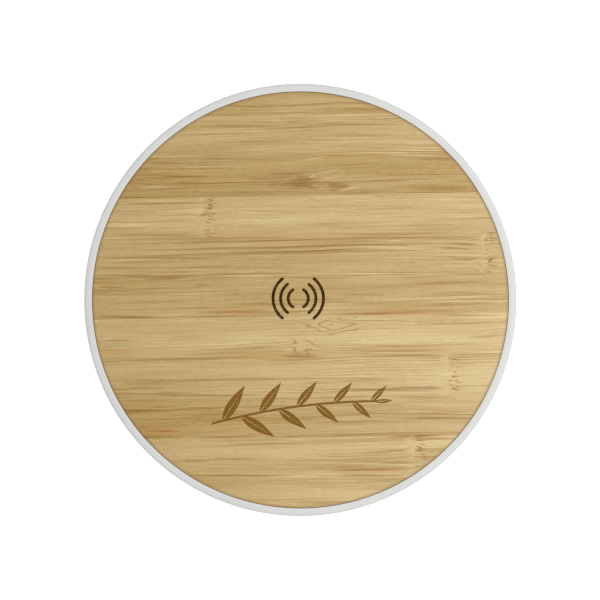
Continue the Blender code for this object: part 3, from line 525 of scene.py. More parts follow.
class Bamboo(Look):
    """Glued bamboo strips, with their grain along X. The methods that take a colour add marks to it."""

    def __init__(self):
        super().__init__("bamboo_strips")
        self.across = self.minus(self.y, self.times(self.x, GRAIN_TILT))
        at = self.math("DIVIDE", self.minus(self.across, STRIP_START), STRIP_PITCH)
        self.strip = self.math("FLOOR", at)
        self.share = self.math("FRACT", at)
        self.along = self.plus(self.x, self.times(self.strip, STRIP_SHIFT))
        self.tone, self.warmth, self.line_share = self.strip_values()
        self.calm, self.dash_area, self.ridge = self.node_areas()
        self.fibre = self.bent_fibres()
        self.fine = self.grain(16.0, 0.26, 0.0, 3.0, 0.65)
        self.streaks = self.grain(40.0, 0.8, 4.0, 3.0, 0.6)
        self.clusters = self.grain(60.0, 2.4, 8.0, 1.0)
        self.lines = self.fibre_bundles()

    def grain(self, stretch, thickness, seed, detail=2.0, roughness=0.5):
        """Streaks along the fibres: stretch is their length and thickness their width."""
        along = self.math("DIVIDE", self.along, stretch)
        across = self.math("DIVIDE", self.fibre, thickness)
        return self.noise(self.vector(along, across, seed), detail, roughness)

    def strip_values(self):
        """Each strip's own tone, warmth and number of lines, from a colour ramp with a step for each."""
        place = self.math("DIVIDE", self.plus(self.strip, 0.5), STRIP_ROOM)
        steps = self.add("ShaderNodeValToRGB", Fac=place)
        ramp = steps.color_ramp
        ramp.interpolation = "CONSTANT"
        for i, values in enumerate(STRIPS):
            stop = ramp.elements[0] if i == 0 else ramp.elements.new(i / STRIP_ROOM)
            stop.color = (*values, 1)
        ramp.elements.remove(ramp.elements[-1])
        return self.add("ShaderNodeSeparateColor", Color=steps.outputs[0]).outputs

    def node_areas(self):
        """Where nodes show: how much the fibres fade, and the short dashes' and the ridge's places."""
        areas = [0.0, 0.0, 0.0]
        noise = self.noise(self.vector(0.0, self.times(self.across, 0.8)), 3.0, 0.6)
        x = self.swayed(self.x, noise, 3.0)
        for node_x, node_strip in BAMBOO_NODES:
            here = self.math("COMPARE", self.strip, float(node_strip), 0.5)
            offset = self.minus(x, node_x)
            for i, (centre, reach) in enumerate(NODE_AREAS):
                area = self.times(self.near(offset, centre, reach), here)
                areas[i] = self.math("MAXIMUM", area, areas[i])
        return areas

    def bent_fibres(self):
        """How far across the grain each fibre lies. It wanders a little, and bends where a node is."""
        wander = self.stretched_noise(self.along, self.across, 0.03, 0.09, detail=1.0)
        bend = self.stretched_noise(self.x, self.y, 0.15, 0.25, 9.0, 1.0)
        return self.swayed(self.swayed(self.across, wander, 1.8), bend, self.times(self.calm, 3.0))

    def fibre_bundles(self):
        """Thin dark lines, crowded in places and along a strip's lower edge, that fade at a node."""
        contours = self.near(self.grain(75.0, 0.85, 12.0, 1.5), 0.5, 0.05)
        bundles = self.ramp(self.grain(38.0, 0.3, 10.0), 0.56, 0.62)
        lines = self.math("MAXIMUM", bundles, self.times(contours, 0.5))
        crowd = self.plus(self.ramp(self.clusters, 0.46, 0.6), self.ramp(self.share, 0.22, 0.0, 0.0, 0.6))
        crowd = self.plus(self.times(crowd, self.line_share), 0.1)
        return self.times(self.times(lines, crowd), self.minus(1.0, self.calm))

    def long_fibres(self, fibres, reach):
        """Thin lenses from point to point, that waver a little. Each vector holds three of them."""
        drift = self.stretched_noise(self.x, self.y, 0.07, 0.3, 31.0, 1.0)
        y = self.swayed(self.y, drift, 0.4)
        x_three, y_three = self.vector(self.x, self.x, self.x), self.vector(y, y, y)
        total = 0.0
        for i in range(0, len(fibres), 3):
            starts, lows, ends, highs, strengths = (Vector(values) for values in zip(*fibres[i:i + 3]))
            runs = ends - starts
            slopes = Vector([rise / run for rise, run in zip(highs - lows, runs)])
            past = self.vectors("SUBTRACT", x_three, (starts + ends) / 2)
            line = self.vectors("MULTIPLY_ADD", past, slopes, (lows + highs) / 2)
            across = self.vectors("SCALE", self.vectors("SUBTRACT", y_three, line), 1 / reach)
            along = self.vectors("DIVIDE", past, runs / 2)
            distance = self.vectors("MULTIPLY_ADD", across, across, self.vectors("MULTIPLY", along, along))
            inside = self.vectors("MAXIMUM", self.vectors("SUBTRACT", (1, 1, 1), distance), (0, 0, 0))
            total = self.plus(self.vectors("DOT_PRODUCT", inside, strengths), total)
        return self.math("MINIMUM", total, 1.0)

    def patch(self, x, y, length, width):
        """1 in the middle of a ragged oval patch, falling to 0 at its edge."""
        reach_x = self.math("DIVIDE", self.minus(self.x, x), length)
        reach_y = self.math("DIVIDE", self.minus(self.y, y), width)
        ragged = self.stretched_noise(self.x, self.y, 0.25, 1.1, 15.0)
        return self.ramp(self.swayed(self.length(reach_x, reach_y), ragged, 1.4), 1.0, 0.4)

    def body(self):
        """The strips' own colours, streaked and flecked, with painted light that makes them paler to the
        right, most in the lower strips.
        """
        # painted light: the wood grows paler towards the right, far more steeply in the lower strips
        level = self.plus(self.tone, self.times(self.x, self.ramp(self.y, 10, -34, 0.002, 0.012)))
        busy = self.ramp(self.clusters, 0.4, 0.62, 0.5, 1.3)
        level = self.swayed(level, self.grain(65.0, 3.6, 6.0), 1.6)
        level = self.swayed(level, self.streaks, self.times(busy, 1.5))
        level = self.swayed(level, self.fine, self.times(busy, 3.2))
        level = self.swayed(level, self.grain(1.6, 0.22, 2.0), 1.2)
        colour = self.mix(self.math("MULTIPLY_ADD", level, 0.8, 0.1), BROWN, PALE)
        colour.node.clamp_factor = False
        return colour

    def lined(self, colour):
        """Warm stains, the fine dark lines, and the longest fibres."""
        stain = self.times(self.ramp(self.streaks, 0.5, 0.68), self.warmth)
        colour = self.mix(self.times(stain, 0.5), colour, WARM_BROWN)
        colour = self.mix(self.math("MINIMUM", self.times(self.lines, 0.8), 0.8), colour, LINE_BROWN)
        colour = self.mix(self.times(self.long_fibres(WARM_FIBRES, 1.3), 0.5), colour, WARM_BROWN)
        patchy = self.ramp(self.grain(9.0, 0.5, 14.0), 0.35, 0.55, 0.65, 1.0)
        longest = self.times(self.long_fibres(DARK_FIBRES, 0.33), patchy)
        return self.mix(self.times(longest, 0.9), colour, LINE_BROWN)

    def ridged(self, colour):
        """Each node's faint pale ridge, and the short dark dashes to its right."""
        dashes = self.stretched_noise(self.x, self.across, 0.6, 2.2, 11.0, 1.0)
        dashes = self.times(self.ramp(dashes, 0.54, 0.62), self.dash_area)
        colour = self.mix(self.times(dashes, 0.75), colour, LINE_BROWN)
        blotch = self.stretched_noise(self.x, self.across, 0.9, 0.9, 13.0, 1.0)
        return self.mix(self.times(self.ridge, self.ramp(blotch, 0.42, 0.62, 0.0, 0.42)), colour, HIGHLIGHT)

    def knotted(self, colour):
        """Curled grain and knots, with pale fibres that rise round them."""
        hills = self.stretched_noise(self.x, self.y, 0.12, 0.42, 21.0, 0.5)
        rings = self.near(self.math("FRACT", self.times(hills, 6.0)), 0.5, 0.2)
        for swirl in SWIRLS:
            patch = self.patch(*swirl)
            colour = self.mix(self.times(patch, 0.35), colour, PALE)
            colour = self.mix(self.times(self.times(rings, patch), 0.7), colour, LINE_BROWN)
        for *place, darkness in KNOTS:
            core = self.times(self.patch(*place), self.ramp(self.fine, 0.35, 0.6, 1.0, 0.55))
            colour = self.mix(self.times(core, darkness), colour, KNOT_BROWN)
        return self.mix(self.times(self.long_fibres(PALE_FIBRES, 0.35), 0.8), colour, HIGHLIGHT)

    def scorched(self, colour):
        """The disc's rim, darker towards its edge, and the engraving, which doesn't shine."""
        radius = self.length(self.x, self.y)
        colour = self.mix(self.ramp(radius, *TONED_RIM, 0.0, 0.35), colour, LINE_BROWN)
        scorch = self.mix(self.ramp(self.y, *BURN_SPLIT), BURN_LIGHT, BURN_DEEP)
        mottle = self.stretched_noise(self.x, self.y, 1.2, 4.0, 0.0, 3.0)
        scorch = self.mix(self.ramp(mottle, 0.4, 0.7, 0.0, 0.25), scorch, colour)
        cut = self.ramp(self.minus(PAD_TOP, self.z), 0.004, 0.03)
        cut = self.times(cut, self.math("LESS_THAN", radius, BAMBOO_R - 0.5))
        self.set(Specular_IOR_Level=self.ramp(cut, 0.0, 1.0, 0.35, 0.0))
        return self.mix(cut, colour, scorch)


def bamboo_look():
    look = Bamboo()
    colour = look.body()
    for add_marks in (look.lined, look.ridged, look.knotted, look.scorched):
        colour = add_marks(colour)
    look.set(Base_Color=colour)
    look.set(Roughness=look.ramp(look.fine, 0.3, 0.7, 0.56, 0.44))
    relief = look.plus(look.times(look.fine, 0.6), look.times(look.minus(1.0, look.lines), 0.4))
    look.bump(relief, 0.35, 0.03)
    return look.material


def shaded(colour, by):
    return (*[channel * by for channel in colour[:3]], 1)


def plastic_look():
    """Moulded white plastic: a fine spark-eroded grain, with a faint unevenness in colour and gloss."""
    look = Look("white_abs")
    white = srgb(206, 206, 203)
    cloud = look.noise(look.place, 3.0, 0.5, 0.08)
    fleck = look.noise(look.place, 2.0, 0.5, 2.2)
    share = look.plus(look.times(cloud, 0.6), look.times(fleck, 0.4))
    look.set(Base_Color=look.mix(look.ramp(share, 0.35, 0.65), shaded(white, 0.955), white))
    look.set(Roughness=look.ramp(cloud, 0.3, 0.7, 0.37, 0.48))
    pits = look.noise(look.place, 3.0, 0.6, 1 / 0.12)
    look.bump(pits, 0.25, 0.012)
    return look.material


def rubber_look():
    """Dark rubber with a little dust."""
    look = Look("rubber_foot")
    speck = look.noise(look.place, 3.0, 0.6, 5.0)
    cloud = look.noise(look.place, 2.0, 0.5, 0.5)
    dust = look.ramp(look.plus(look.times(speck, 0.5), look.times(cloud, 0.5)), 0.45, 0.7)
    look.set(Base_Color=look.mix(dust, srgb(38, 38, 39), srgb(66, 65, 63)))
    look.set(Roughness=look.ramp(cloud, 0.3, 0.7, 0.72, 0.9))
    look.bump(speck, 0.4, 0.03)
    return look.material


def steel_look():
    """Plated steel, with fine drawn lines round it."""
    look = Look("plated_steel", 1.0)
    steel = (0.66, 0.65, 0.62, 1)
    drawn = look.noise(look.vectors("MULTIPLY", look.place, (2.0, 2.0, 14.0)), 3.0, 0.6)
    cloud = look.noise(look.place, 2.0, 0.5, 0.6)
    share = look.plus(look.times(drawn, 0.5), look.times(cloud, 0.5))
    look.set(Base_Color=look.mix(look.ramp(share, 0.35, 0.65), shaded(steel, 0.8), steel))
    look.set(Roughness=look.ramp(drawn, 0.3, 0.7, 0.225, 0.405))
    look.bump(drawn, 0.15, 0.01)
    return look.material


def mottled_look(name, colour, other, roughness, scale, metallic=0.0):
    """A material mottled between two colours, with a little relief at the same scale."""
    look = Look(name, metallic)
    mottle = look.noise(look.place, 3.0, 0.6, scale)
    look.set(Base_Color=look.mix(look.ramp(mottle, 0.4, 0.6), colour, other))
    look.set(Roughness=look.ramp(mottle, 0.3, 0.7, roughness * 0.85, roughness * 1.15))
    look.bump(mottle, 0.3, 0.01)
    return look.material


def litz_look():
    """Many thin enamelled strands laid side by side, seen as fine slanted lines along the wire, with
    painted shade in the grooves between strands.
    """
    look = Look("copper_litz", 0.85)
    angle = look.math("ARCTAN2", look.y, look.x)
    radius = look.length(look.x, look.y)
    lay = look.plus(look.times(radius, 30.0), look.times(angle, 90.0))
    strand_relief_and_shade = look.math("SINE", lay)
    cloud = look.noise(look.place, 2.0, 0.5, 0.7)
    # painted shade: the copper darkens towards the grooves between strands, where the bump is low
    colour = look.mix(look.ramp(strand_relief_and_shade, -1.0, 0.6), srgb(120, 58, 28), srgb(214, 132, 84))
    look.set(Base_Color=look.mix(look.ramp(cloud, 0.35, 0.7, 0.0, 0.5), colour, srgb(176, 96, 52)))
    look.set(Roughness=look.ramp(cloud, 0.35, 0.7, 0.28, 0.44))
    look.bump(strand_relief_and_shade, 0.5, 0.04)
    return look.material


def board_look():
    """Green solder mask, with tracks as raised, paler lines, and bare glass fibre at the board's edges."""
    look = Look("circuit_board")
    bend = look.noise(look.place, 1.0, 0.5, 0.25)
    kind = {"distance": "CHEBYCHEV", "feature": "F1"}
    cells = look.add("ShaderNodeTexVoronoi", kind, Vector=look.place, Scale=0.42)
    ring = look.math("FRACT", look.times(cells.outputs["Distance"], 5.0))
    tracks = look.times(look.ramp(ring, 0.30, 0.36), look.ramp(ring, 0.70, 0.64))
    mask = look.mix(look.ramp(bend, 0.4, 0.6), srgb(10, 62, 36), srgb(14, 74, 42))
    colour = look.mix(look.times(tracks, 0.55), mask, srgb(40, 118, 62))
    geometry = look.add("ShaderNodeNewGeometry")
    tilt = look.add("ShaderNodeSeparateXYZ", Vector=geometry.outputs["True Normal"]).outputs[2]
    side = look.ramp(look.math("ABSOLUTE", tilt), 0.7, 0.3)
    look.set(Base_Color=look.mix(side, colour, srgb(176, 164, 104)))
    look.set(Roughness=look.ramp(bend, 0.4, 0.6, 0.28, 0.42))
    look.bump(tracks, 0.4, 0.03)
    return look.material


def clear_look():
    """Clear acrylic, never quite even."""
    look = Look("clear_acrylic")
    swirl = look.noise(look.place, 2.0, 0.5, 1.5)
    look.set(Base_Color=look.mix(look.ramp(swirl, 0.3, 0.7), srgb(236, 240, 240), srgb(250, 251, 250)))
    look.set(Roughness=look.ramp(swirl, 0.3, 0.7, 0.05, 0.2))
    look.set(Transmission_Weight=0.85, IOR=1.49)
    look.bump(swirl, 0.1, 0.005)
    return look.material


LOOKS = {
    "bamboo": bamboo_look(),
    "white_abs": plastic_look(),
    "rubber": rubber_look(),
    "glue_film": mottled_look("glue_film", srgb(222, 214, 186), srgb(236, 230, 208), 0.5, 0.8),
    "steel": steel_look(),
    "copper_litz": litz_look(),
    "ferrite": mottled_look("ferrite", srgb(52, 52, 55), srgb(72, 71, 72), 0.62, 3.0),
    "circuit_board": board_look(),
    "chip_black": mottled_look("chip_epoxy", srgb(30, 30, 31), srgb(44, 44, 45), 0.5, 6.0),
    "socket_black": mottled_look("socket_moulding", srgb(22, 22, 23), srgb(34, 34, 35), 0.4, 4.0),
    "ceramic_tan": mottled_look("ceramic_tan", srgb(156, 122, 88), srgb(178, 144, 108), 0.45, 2.0),
    "led_white": mottled_look("led_white", srgb(228, 226, 214), srgb(244, 242, 232), 0.35, 1.5),
    "clear_acrylic": clear_look(),
    "gold": mottled_look("gold_plating", (0.85, 0.60, 0.25, 1), (0.95, 0.70, 0.33, 1), 0.25, 5.0, 1.0),
    "epoxy_bead": mottled_look("epoxy_bead", srgb(22, 22, 24), srgb(36, 36, 38), 0.3, 3.0),
}


# ---------------------------------------------------------------- bamboo disc


def stroke_band(x, y, radius, start, end, stroke, steps=40):
    """The outline of a curved stroke with round ends."""
    far_x, far_y = polar(radius, end)
    near_x, near_y = polar(radius, start)
    outer = arc(x, y, radius + stroke / 2, start, end, steps)
    far_cap = arc(x + far_x, y + far_y, stroke / 2, end, end + 180, 12)[1:-1]
    inner = arc(x, y, radius - stroke / 2, end, start, steps)
    near_cap = arc(x + near_x, y + near_y, stroke / 2, start + 180, start + 360, 12)[1:-1]
    return outer + far_cap + inner + near_cap


def grown(outline, by):
    """An anticlockwise outline with its points moved outwards."""
    moved = []
    for before, point, after in zip(outline[-1:] + outline[:-1], outline, outline[1:] + outline[:1]):
        run = (Vector(after) - Vector(before)).normalized()
        moved.append((point[0] + run.y * by, point[1] - run.x * by))
    return moved


def half_leaf(base, angle, length, side, steps=24):
    """The outline of one half of a slender leaf, beside a midrib that is left standing."""
    along = Vector((cos(radians(angle)), sin(radians(angle))))
    across = Vector((-along.y, along.x)) * side
    shares = [i / steps for i in range(1, steps)]
    half = across * LEAF_SLENDERNESS * length
    edge = [along * t * length + half * sin(pi * t**LEAF_SKEW) for t in shares]
    rib = [along * t * length + across * MIDRIB * (1 - t) for t in reversed(shares)]
    outline = [tuple(Vector(base) + p) for p in [*edge, along * length, *rib]]
    return outline[::-side]


def sprig_stem(share):
    """A point of the stem, from its root at 0 to its tip at 1."""
    x = SPRIG_START[0] + SPRIG_SPAN * share
    y = SPRIG_START[1] + SPRIG_RISE * (1 - (1 - share) ** 2)
    return Vector((x, y))


def sprig_outlines():
    """The stem, then leaves set on alternate sides and growing shorter towards the tip."""
    steps = 48
    stem = [sprig_stem(i / steps) for i in range(steps + 1)]
    half = Vector((0, SPRIG_STROKE / 2))
    outlines = [[tuple(p - half) for p in stem] + [tuple(p + half) for p in reversed(stem)]]
    for i in range(SPRIG_LEAVES):
        share = (i + 0.6) / SPRIG_LEAVES
        run = sprig_stem(share + 0.02) - sprig_stem(share)  # which way the stem points there
        turn = LEAF_SPREAD if i % 2 == 0 else -LEAF_SPREAD
        length = LEAF_LONGEST + (LEAF_SHORTEST - LEAF_LONGEST) * i / (SPRIG_LEAVES - 1)
        for side in (1, -1):
            outlines.append(half_leaf(sprig_stem(share), degrees(atan2(run.y, run.x)) + turn, length, side))
    tip = sprig_stem(1.0) + Vector(TIP_LEAF_START)
    for side in (1, -1):
        outlines.append(half_leaf(tip, TIP_LEAF_ANGLE, TIP_LEAF_LENGTH, side))
    return outlines


def groove(outline, depth):
    """A cutter for an engraved shape, whose sides lean out towards the surface."""
    mouth = grown(outline, ENGRAVED_SLOPE * CUT_ABOVE / depth)
    floor = grown(outline, -ENGRAVED_SLOPE)
    return slab("groove", mouth, PAD_TOP - depth, PAD_TOP + CUT_ABOVE, floor)


def make_bamboo_top():
    """The bamboo disc: a softened edge, the charging symbol's arcs and the leaf sprig."""
    outline = [(BAMBOO_R - BAMBOO_LOWER_EDGE, BAMBOO_BOTTOM), (BAMBOO_R, BAMBOO_BOTTOM + BAMBOO_LOWER_EDGE)]
    outline += arc(BAMBOO_R - BAMBOO_EDGE, PAD_TOP - BAMBOO_EDGE, BAMBOO_EDGE, 0, 90, 4)
    disc = turned("bamboo_disc", outline)
    grooves = []
    for radius, half in zip(SYMBOL_RADII, SYMBOL_HALF_ANGLES):
        for facing in (0, 180):
            band = stroke_band(*SYMBOL_CENTRE, radius, facing - half, facing + half, SYMBOL_STROKE)
            grooves.append(groove(band, SYMBOL_DEPTH))
    for shape in sprig_outlines():
        grooves.append(slab("groove", shape, PAD_TOP - SPRIG_DEPTH, PAD_TOP + CUT_ABOVE))
    combined(disc, "DIFFERENCE", grooves)
    hand_over(disc, "bamboo", "bamboo", "bamboo_top")


# ---------------------------------------------------------------- housing


def pillars(name, radius, low, high, places):
    """Plain round posts or holes between two heights."""
    return [turned(name, [(radius, low), (radius, high)], steps=48, at=(*place, 0)) for place in places]


def port_and_light_cutters():
    """The socket's mouth and the status light's hole, with their outer edges flared a little."""
    mouth = stadium(SOCKET_WIDTH + 2 * PORT_CLEARANCE, SOCKET_HEIGHT + 2 * PORT_CLEARANCE, steps=24)
    hole = arc(0, 0, LIGHT_HOLE_R, 0, 360, 40)[:-1]
    cutters = []
    for outline, z, turn in ((mouth, SOCKET_Z, 0), (hole, LIGHT_Z, LIGHT_ANGLE - 90)):
        straight = slab("opening", outline, PORT_START_R, PAD_R + PAST)
        wider = grown(outline, 2 * MOUTH_FLARE)
        flare = slab("flare", wider, PAD_R - MOUTH_FLARE, PAD_R + MOUTH_FLARE, outline)
        for cutter in (straight, flare):
            cutters.append(shifted(upright(cutter, z), turn=turn))
    return cutters


def middles(nodes):
    """Where nodes stand, as (x, y)."""
    boxes = [box_mm(node) for node in nodes]
    return [((low.x + high.x) / 2, (low.y + high.y) / 2) for low, high in boxes]


CASE_SCREWS = middles(FEET)  # each foot hides one
BOARD_SCREWS = middles([name for name in frame["nodes"] if name.startswith("board_screw_")])


def make_top_housing():
    """The upper shell: rim, recess floor and side wall in one moulding, with its bosses and coil ring."""
    low = SEAM_Z + SEAM_GAP / 2
    outline = [(WALL_R_IN, DECK_BOTTOM), (WALL_R_IN, low)]
    outline += arc(PAD_R - SEAM_EDGE, low + SEAM_EDGE, SEAM_EDGE, -90, 0, 3)
    outline += arc(PAD_R - RIM_ROUND, PAD_TOP - RIM_ROUND, RIM_ROUND, 0, 90, 10)
    outline += arc(RECESS_R + RECESS_EDGE, PAD_TOP - RECESS_EDGE, RECESS_EDGE, 90, 180, 3)
    outline += [(RECESS_R, DECK_TOP)]
    shell = turned("upper_shell", outline)
    root = DECK_BOTTOM + OVERLAP
    inner, outer, bottom = COIL_RING
    start, end = COIL_RING_ANGLES
    ring = arc(0, 0, outer, start, end, 160) + arc(0, 0, inner, end, start, 160)
    joined = [slab("coil_ring", ring, bottom, root)]
    joined += pillars("boss", BOSS_R, BOSS_BOTTOM, root, CASE_SCREWS)
    joined += pillars("post", POST_R, POST_BOTTOM, root, BOARD_SCREWS)
    combined(shell, "UNION", joined)
    holes = pillars("pilot", PILOT_R, 0, DECK_BOTTOM - PILOT_STOP, CASE_SCREWS + BOARD_SCREWS)
    combined(shell, "DIFFERENCE", port_and_light_cutters() + holes)
    hand_over(shell, "white_abs", "white_abs", "top_housing")


def vent_cutters():
    """Slots through the floor, a little wider where they open underneath."""
    outline = stadium(*VENT_SIZE, steps=12)
    cutters = []
    for y in VENT_ROWS:
        for side in (-1, 1):
            slot = slab("vent", outline, 0, FLOOR_TOP + PAST)
            depth = BASE_BOTTOM + VENT_FLARE
            flare = slab("flare", outline, 0, depth, grown(outline, depth))
            cutters += [shifted(slot, y=side * y), shifted(flare, y=side * y)]
    return cutters


def make_base_cover():
    """The lower shell: a floor with a rounded corner, and the lip that centres it in the upper shell."""
    high = SEAM_Z - SEAM_GAP / 2
    label_z = BASE_BOTTOM + LABEL_DEPTH
    outline = [(LABEL_R, label_z), (LABEL_R + LABEL_DEPTH, BASE_BOTTOM)]
    width, height = PAD_R - BASE_FLAT_R, BASE_SIDE_Z - BASE_BOTTOM
    outline += [(BASE_FLAT_R + width * x, BASE_SIDE_Z + height * z) for x, z in arc(0, 0, 1, -90, 0, 24)]
    outline += arc(PAD_R - SEAM_EDGE, high - SEAM_EDGE, SEAM_EDGE, 0, 90, 3)
    outline += [(LIP_R_OUT, high), (LIP_R_OUT, LIP_TOP - LIP_EDGE), (LIP_R_OUT - LIP_EDGE, LIP_TOP)]
    outline += [(LIP_R_IN, LIP_TOP), (LIP_R_IN, BASE_SIDE_Z), (LIP_R_IN - FLOOR_SLOPE, FLOOR_TOP)]
    shell = turned("lower_shell", outline)
    root = FLOOR_TOP - OVERLAP
    joined = pillars("boss", BASE_BOSS_R, root, BOSS_SPLIT_Z, CASE_SCREWS)
    for angle in RIB_ANGLES:
        joined.append(block("rib", (*RIB_SIZE, RIB_TOP - root), (*polar(RIB_R, angle), root), angle))
    combined(shell, "UNION", joined)

    stepped = [(FOOT_RECESS_R, 0), (FOOT_RECESS_R, FOOT_RECESS_TOP), (HEAD_HOLE_R, FOOT_RECESS_TOP)]
    stepped += [(HEAD_HOLE_R, HEAD_HOLE_TOP), (SCREW_HOLE_R, HEAD_HOLE_TOP)]
    stepped += [(SCREW_HOLE_R, BOSS_SPLIT_Z + PAST)]
    holes = [turned("screw_hole", stepped, steps=64, at=(*place, 0)) for place in CASE_SCREWS]
    combined(shell, "DIFFERENCE", port_and_light_cutters() + vent_cutters() + holes)
    hand_over(shell, "white_abs", "white_abs", "base_cover")


def make_feet():
    """Soft round feet with a rolled lower edge."""
    for foot, place in zip(FEET, CASE_SCREWS):
        low, high = box_mm(foot)
        radius = (high.x - low.x) / 2
        outline = arc(radius - FOOT_ROUND, low.z + FOOT_ROUND, FOOT_ROUND, -90, 0, 8)
        outline += [(radius, high.z - FOOT_EDGE), (radius - FOOT_EDGE, high.z)]
        piece = turned(foot.replace("foot", "rubber_pad"), outline, steps=96, at=(*place, 0))
        hand_over(piece, "rubber", "rubber", foot)


# ---------------------------------------------------------------- socket and status light


def make_socket_shell():
    """The drawn steel shell: a closed, rounded back, a rolled mouth and four solder wings."""
    low, high = box_mm("socket_shell")
    back, front = low.y, high.y
    roll = SOCKET_WALL / 2
    shape = [(back + y, inset) for y, inset in BACK_EDGE]
    shape += arc(front - roll, roll, roll, -90, 90, 6)
    shape += [(back + SOCKET_WALL, SOCKET_WALL)]
    rings = []
    for y, inset in shape:
        outline = stadium(SOCKET_WIDTH - 2 * inset, SOCKET_HEIGHT - 2 * inset, SOCKET_STEPS)
        rings.append([(x, y, z + SOCKET_Z) for x, z in outline])
    shell = skinned("drawn_shell", rings)
    wings = []
    wing_width = high.x - SOCKET_WIDTH / 2 + WING_OVERLAP
    for y in WING_BACKS:
        for side in (-1, 1):
            at = (side * (high.x - wing_width / 2), front + y, WING_BOTTOM)
            wings.append(block("wing", (wing_width, *WING_SIZE), at))
    combined(shell, "UNION", wings)
    inside = stadium(SOCKET_WIDTH - 2 * SOCKET_WALL, SOCKET_HEIGHT - 2 * SOCKET_WALL, SOCKET_STEPS)
    hollow = slab("hollow", inside, back + SOCKET_WALL, front - HOLLOW_FRONT)
    combined(shell, "DIFFERENCE", [upright(hollow, SOCKET_Z)])
    hand_over(shell, "steel", "steel", "socket_shell")


def make_socket_tongue():
    """The moulding at the back of the shell, and the tongue with a tapered tip that it carries."""
    low, high = box_mm("socket_tongue")
    body = stadium(high.x - low.x, high.z - low.z, SOCKET_STEPS)
    moulding = upright(slab("tongue_moulding", body, low.y, low.y + TONGUE_ROOT), SOCKET_Z)
    width, thick = TONGUE_SIZE
    narrower, thinner = TONGUE_TAPER
    blade = round_box(width, thick, thick / 2 - TONGUE_ROUND)
    tip = round_box(width - narrower, thick - thinner, (thick - thinner) / 2 - TONGUE_ROUND)
    taper = high.y - TONGUE_TIP
    tongue = [slab("blade", blade, low.y + TONGUE_ROOT / 2, taper)]
    tongue += [slab("tip", tip, taper - TIP_OVERLAP, high.y, blade)]
    combined(moulding, "UNION", [upright(piece, SOCKET_Z) for piece in tongue])
    hand_over(moulding, "socket_black", "socket_black", "socket_tongue")


def make_socket_contacts():
    """A row of gold contacts on either face of the tongue."""
    y = box_mm("socket_tongue")[1].y - CONTACT_INSET
    face = TONGUE_SIZE[1] / 2 - CONTACT_SUNK
    for row, z in (("upper", SOCKET_Z + face), ("lower", SOCKET_Z - face - CONTACT_SIZE[2])):
        places = [(CONTACT_PITCH * (i - (CONTACTS - 1) / 2), y, z) for i in range(CONTACTS)]
        strips = [block("contact", CONTACT_SIZE, at) for at in places]
        piece = strips.pop()
        combined(piece, "UNION", strips)
        piece.name = f"socket_contacts_{row}"
        hand_over(piece, "gold", "steel")


def make_light_pipe():
    """A clear rod from the status light to the housing's side, ending in a shallow dome."""
    dome = PAD_R - LIGHT_PIPE_INSET - LIGHT_PIPE_START_R - LIGHT_PIPE_DOME
    outline = [(LIGHT_PIPE_R - LIGHT_PIPE_EDGE, 0), (LIGHT_PIPE_R, LIGHT_PIPE_EDGE)]
    outline += [(LIGHT_PIPE_R * r, dome + LIGHT_PIPE_DOME * rise) for r, rise in arc(0, 0, 1, 0, 88, 11)]
    pipe = turned("clear_pipe", outline, steps=48)
    pipe.data.transform(Matrix.Rotation(radians(90), 4, "Y"))
    shifted(pipe, *polar(LIGHT_PIPE_START_R, LIGHT_ANGLE), LIGHT_Z, LIGHT_ANGLE)
    hand_over(pipe, "clear_acrylic", "clear_acrylic", "light_pipe")


def dress_kept_nodes():
    """Every CAD node that still shows gets its slot's material."""
    for subpart in frame["record"]["subparts"]:
        node = frame["nodes"][subpart["node"]]
        if not node.hide_render:
            node.data.materials.clear()
            node.data.materials.append(LOOKS[subpart["material_slot"]])


# ---------------------------------------------------------------- studio


def floor_look():
    """Pale, and glowing a little, so that the pad stands on white. From below it is clear."""
    look = Look("floor")
    look.set(Base_Color=(0.8, 0.8, 0.8, 1), Roughness=0.9, Specular_IOR_Level=0.0)
    geometry = look.add("ShaderNodeNewGeometry").outputs
    path = look.add("ShaderNodeLightPath").outputs
    facing = look.vectors("DOT_PRODUCT", geometry["Normal"], geometry["Incoming"])
    bounce = look.ramp(path["Transparent Depth"], 0.0, 1.0, *FLOOR_BOUNCE)
    glow = look.minus(look.ramp(facing, 0.5, 0.98, *FLOOR_GLOW), bounce)
    glow = look.plus(look.times(glow, path["Is Camera Ray"]), bounce)
    look.set(Emission_Color=(1, 1, 1, 1), Emission_Strength=glow)
    clear = look.add("ShaderNodeBsdfTransparent").outputs[0]
    both = look.add("ShaderNodeMixShader")
    for socket, value in zip(both.inputs, (geometry["Backfacing"], look.shader.outputs[0], clear)):
        look.feed(socket, value)
    look.feed(look.tree.nodes["Material Output"].inputs["Surface"], both.outputs[0])
    look.material.cycles.emission_sampling = "NONE"
    return look.material


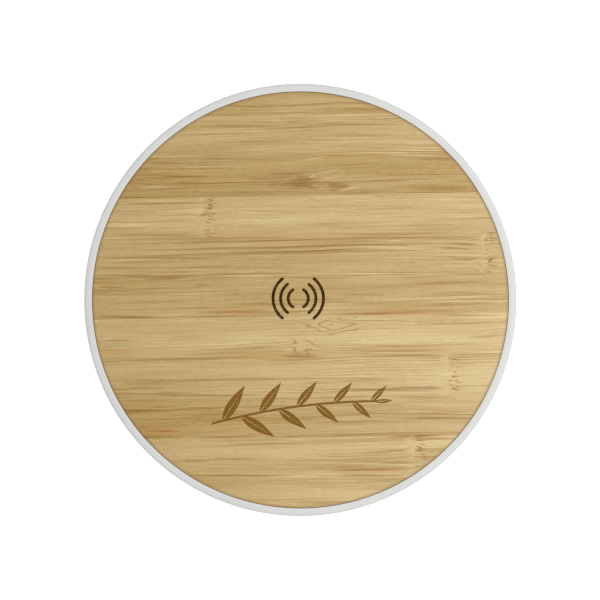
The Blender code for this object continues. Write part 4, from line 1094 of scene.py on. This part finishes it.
def make_floor():
    """A large plain sheet, which faces up."""
    bm = bmesh.new()
    bmesh.ops.create_grid(bm, x_segments=1, y_segments=1, size=FLOOR_HALF)
    bmesh.ops.translate(bm, verts=bm.verts, vec=(0, 0, -FLOOR_DROP * MM))
    piece = new_object("floor", bpy.data.meshes.new("floor"))
    bm.to_mesh(piece.data)
    bm.free()
    piece.data.materials.append(floor_look())


def make_world():
    """A plain pale backdrop to the camera, and an even soft light to everything else."""
    world = bpy.data.worlds.new("studio")
    world.use_nodes = True
    tree = world.node_tree
    seen = tree.nodes.new("ShaderNodeBackground")
    seen.inputs["Color"].default_value = BACKDROP
    light = tree.nodes["Background"]
    light.inputs["Color"].default_value = AMBIENT_TINT
    light.inputs["Strength"].default_value = AMBIENT
    both = tree.nodes.new("ShaderNodeMixShader")
    tree.links.new(tree.nodes.new("ShaderNodeLightPath").outputs["Is Camera Ray"], both.inputs[0])
    tree.links.new(light.outputs[0], both.inputs[1])
    tree.links.new(seen.outputs[0], both.inputs[2])
    tree.links.new(both.outputs[0], tree.nodes["World Output"].inputs["Surface"])
    bpy.context.scene.world = world


def make_lights():
    """One large soft light, above and to the right."""
    light = bpy.data.lights.new("key", "AREA")
    light.shape = "DISK"
    light.size = KEY_SIZE
    light.energy = KEY_POWER
    light.color = KEY_TINT
    piece = bpy.data.objects.new("key", light)
    bpy.context.scene.collection.objects.link(piece)
    piece.visible_camera = False
    piece.location = KEY_AT
    piece.rotation_euler = (-Vector(KEY_AT)).to_track_quat("-Z", "Y").to_euler()


def make_camera():
    """Straight above the pad, far enough away for its sides not to show."""
    camera = bpy.data.cameras.new("camera")
    camera.sensor_width = SENSOR
    camera.lens = LENS
    piece = bpy.data.objects.new("camera", camera)
    bpy.context.scene.collection.objects.link(piece)
    height = PAD_TOP - RIM_ROUND + PICTURE_WIDTH * LENS / SENSOR
    piece.location = Vector((*PICTURE_CENTRE, height)) * MM
    bpy.context.scene.camera = piece
    bpy.context.scene.view_settings.view_transform = "Standard"


make_bamboo_top()
make_top_housing()
make_base_cover()
make_feet()
make_socket_shell()
make_socket_tongue()
make_socket_contacts()
make_light_pipe()
dress_kept_nodes()
make_floor()
make_world()
make_lights()
make_camera()
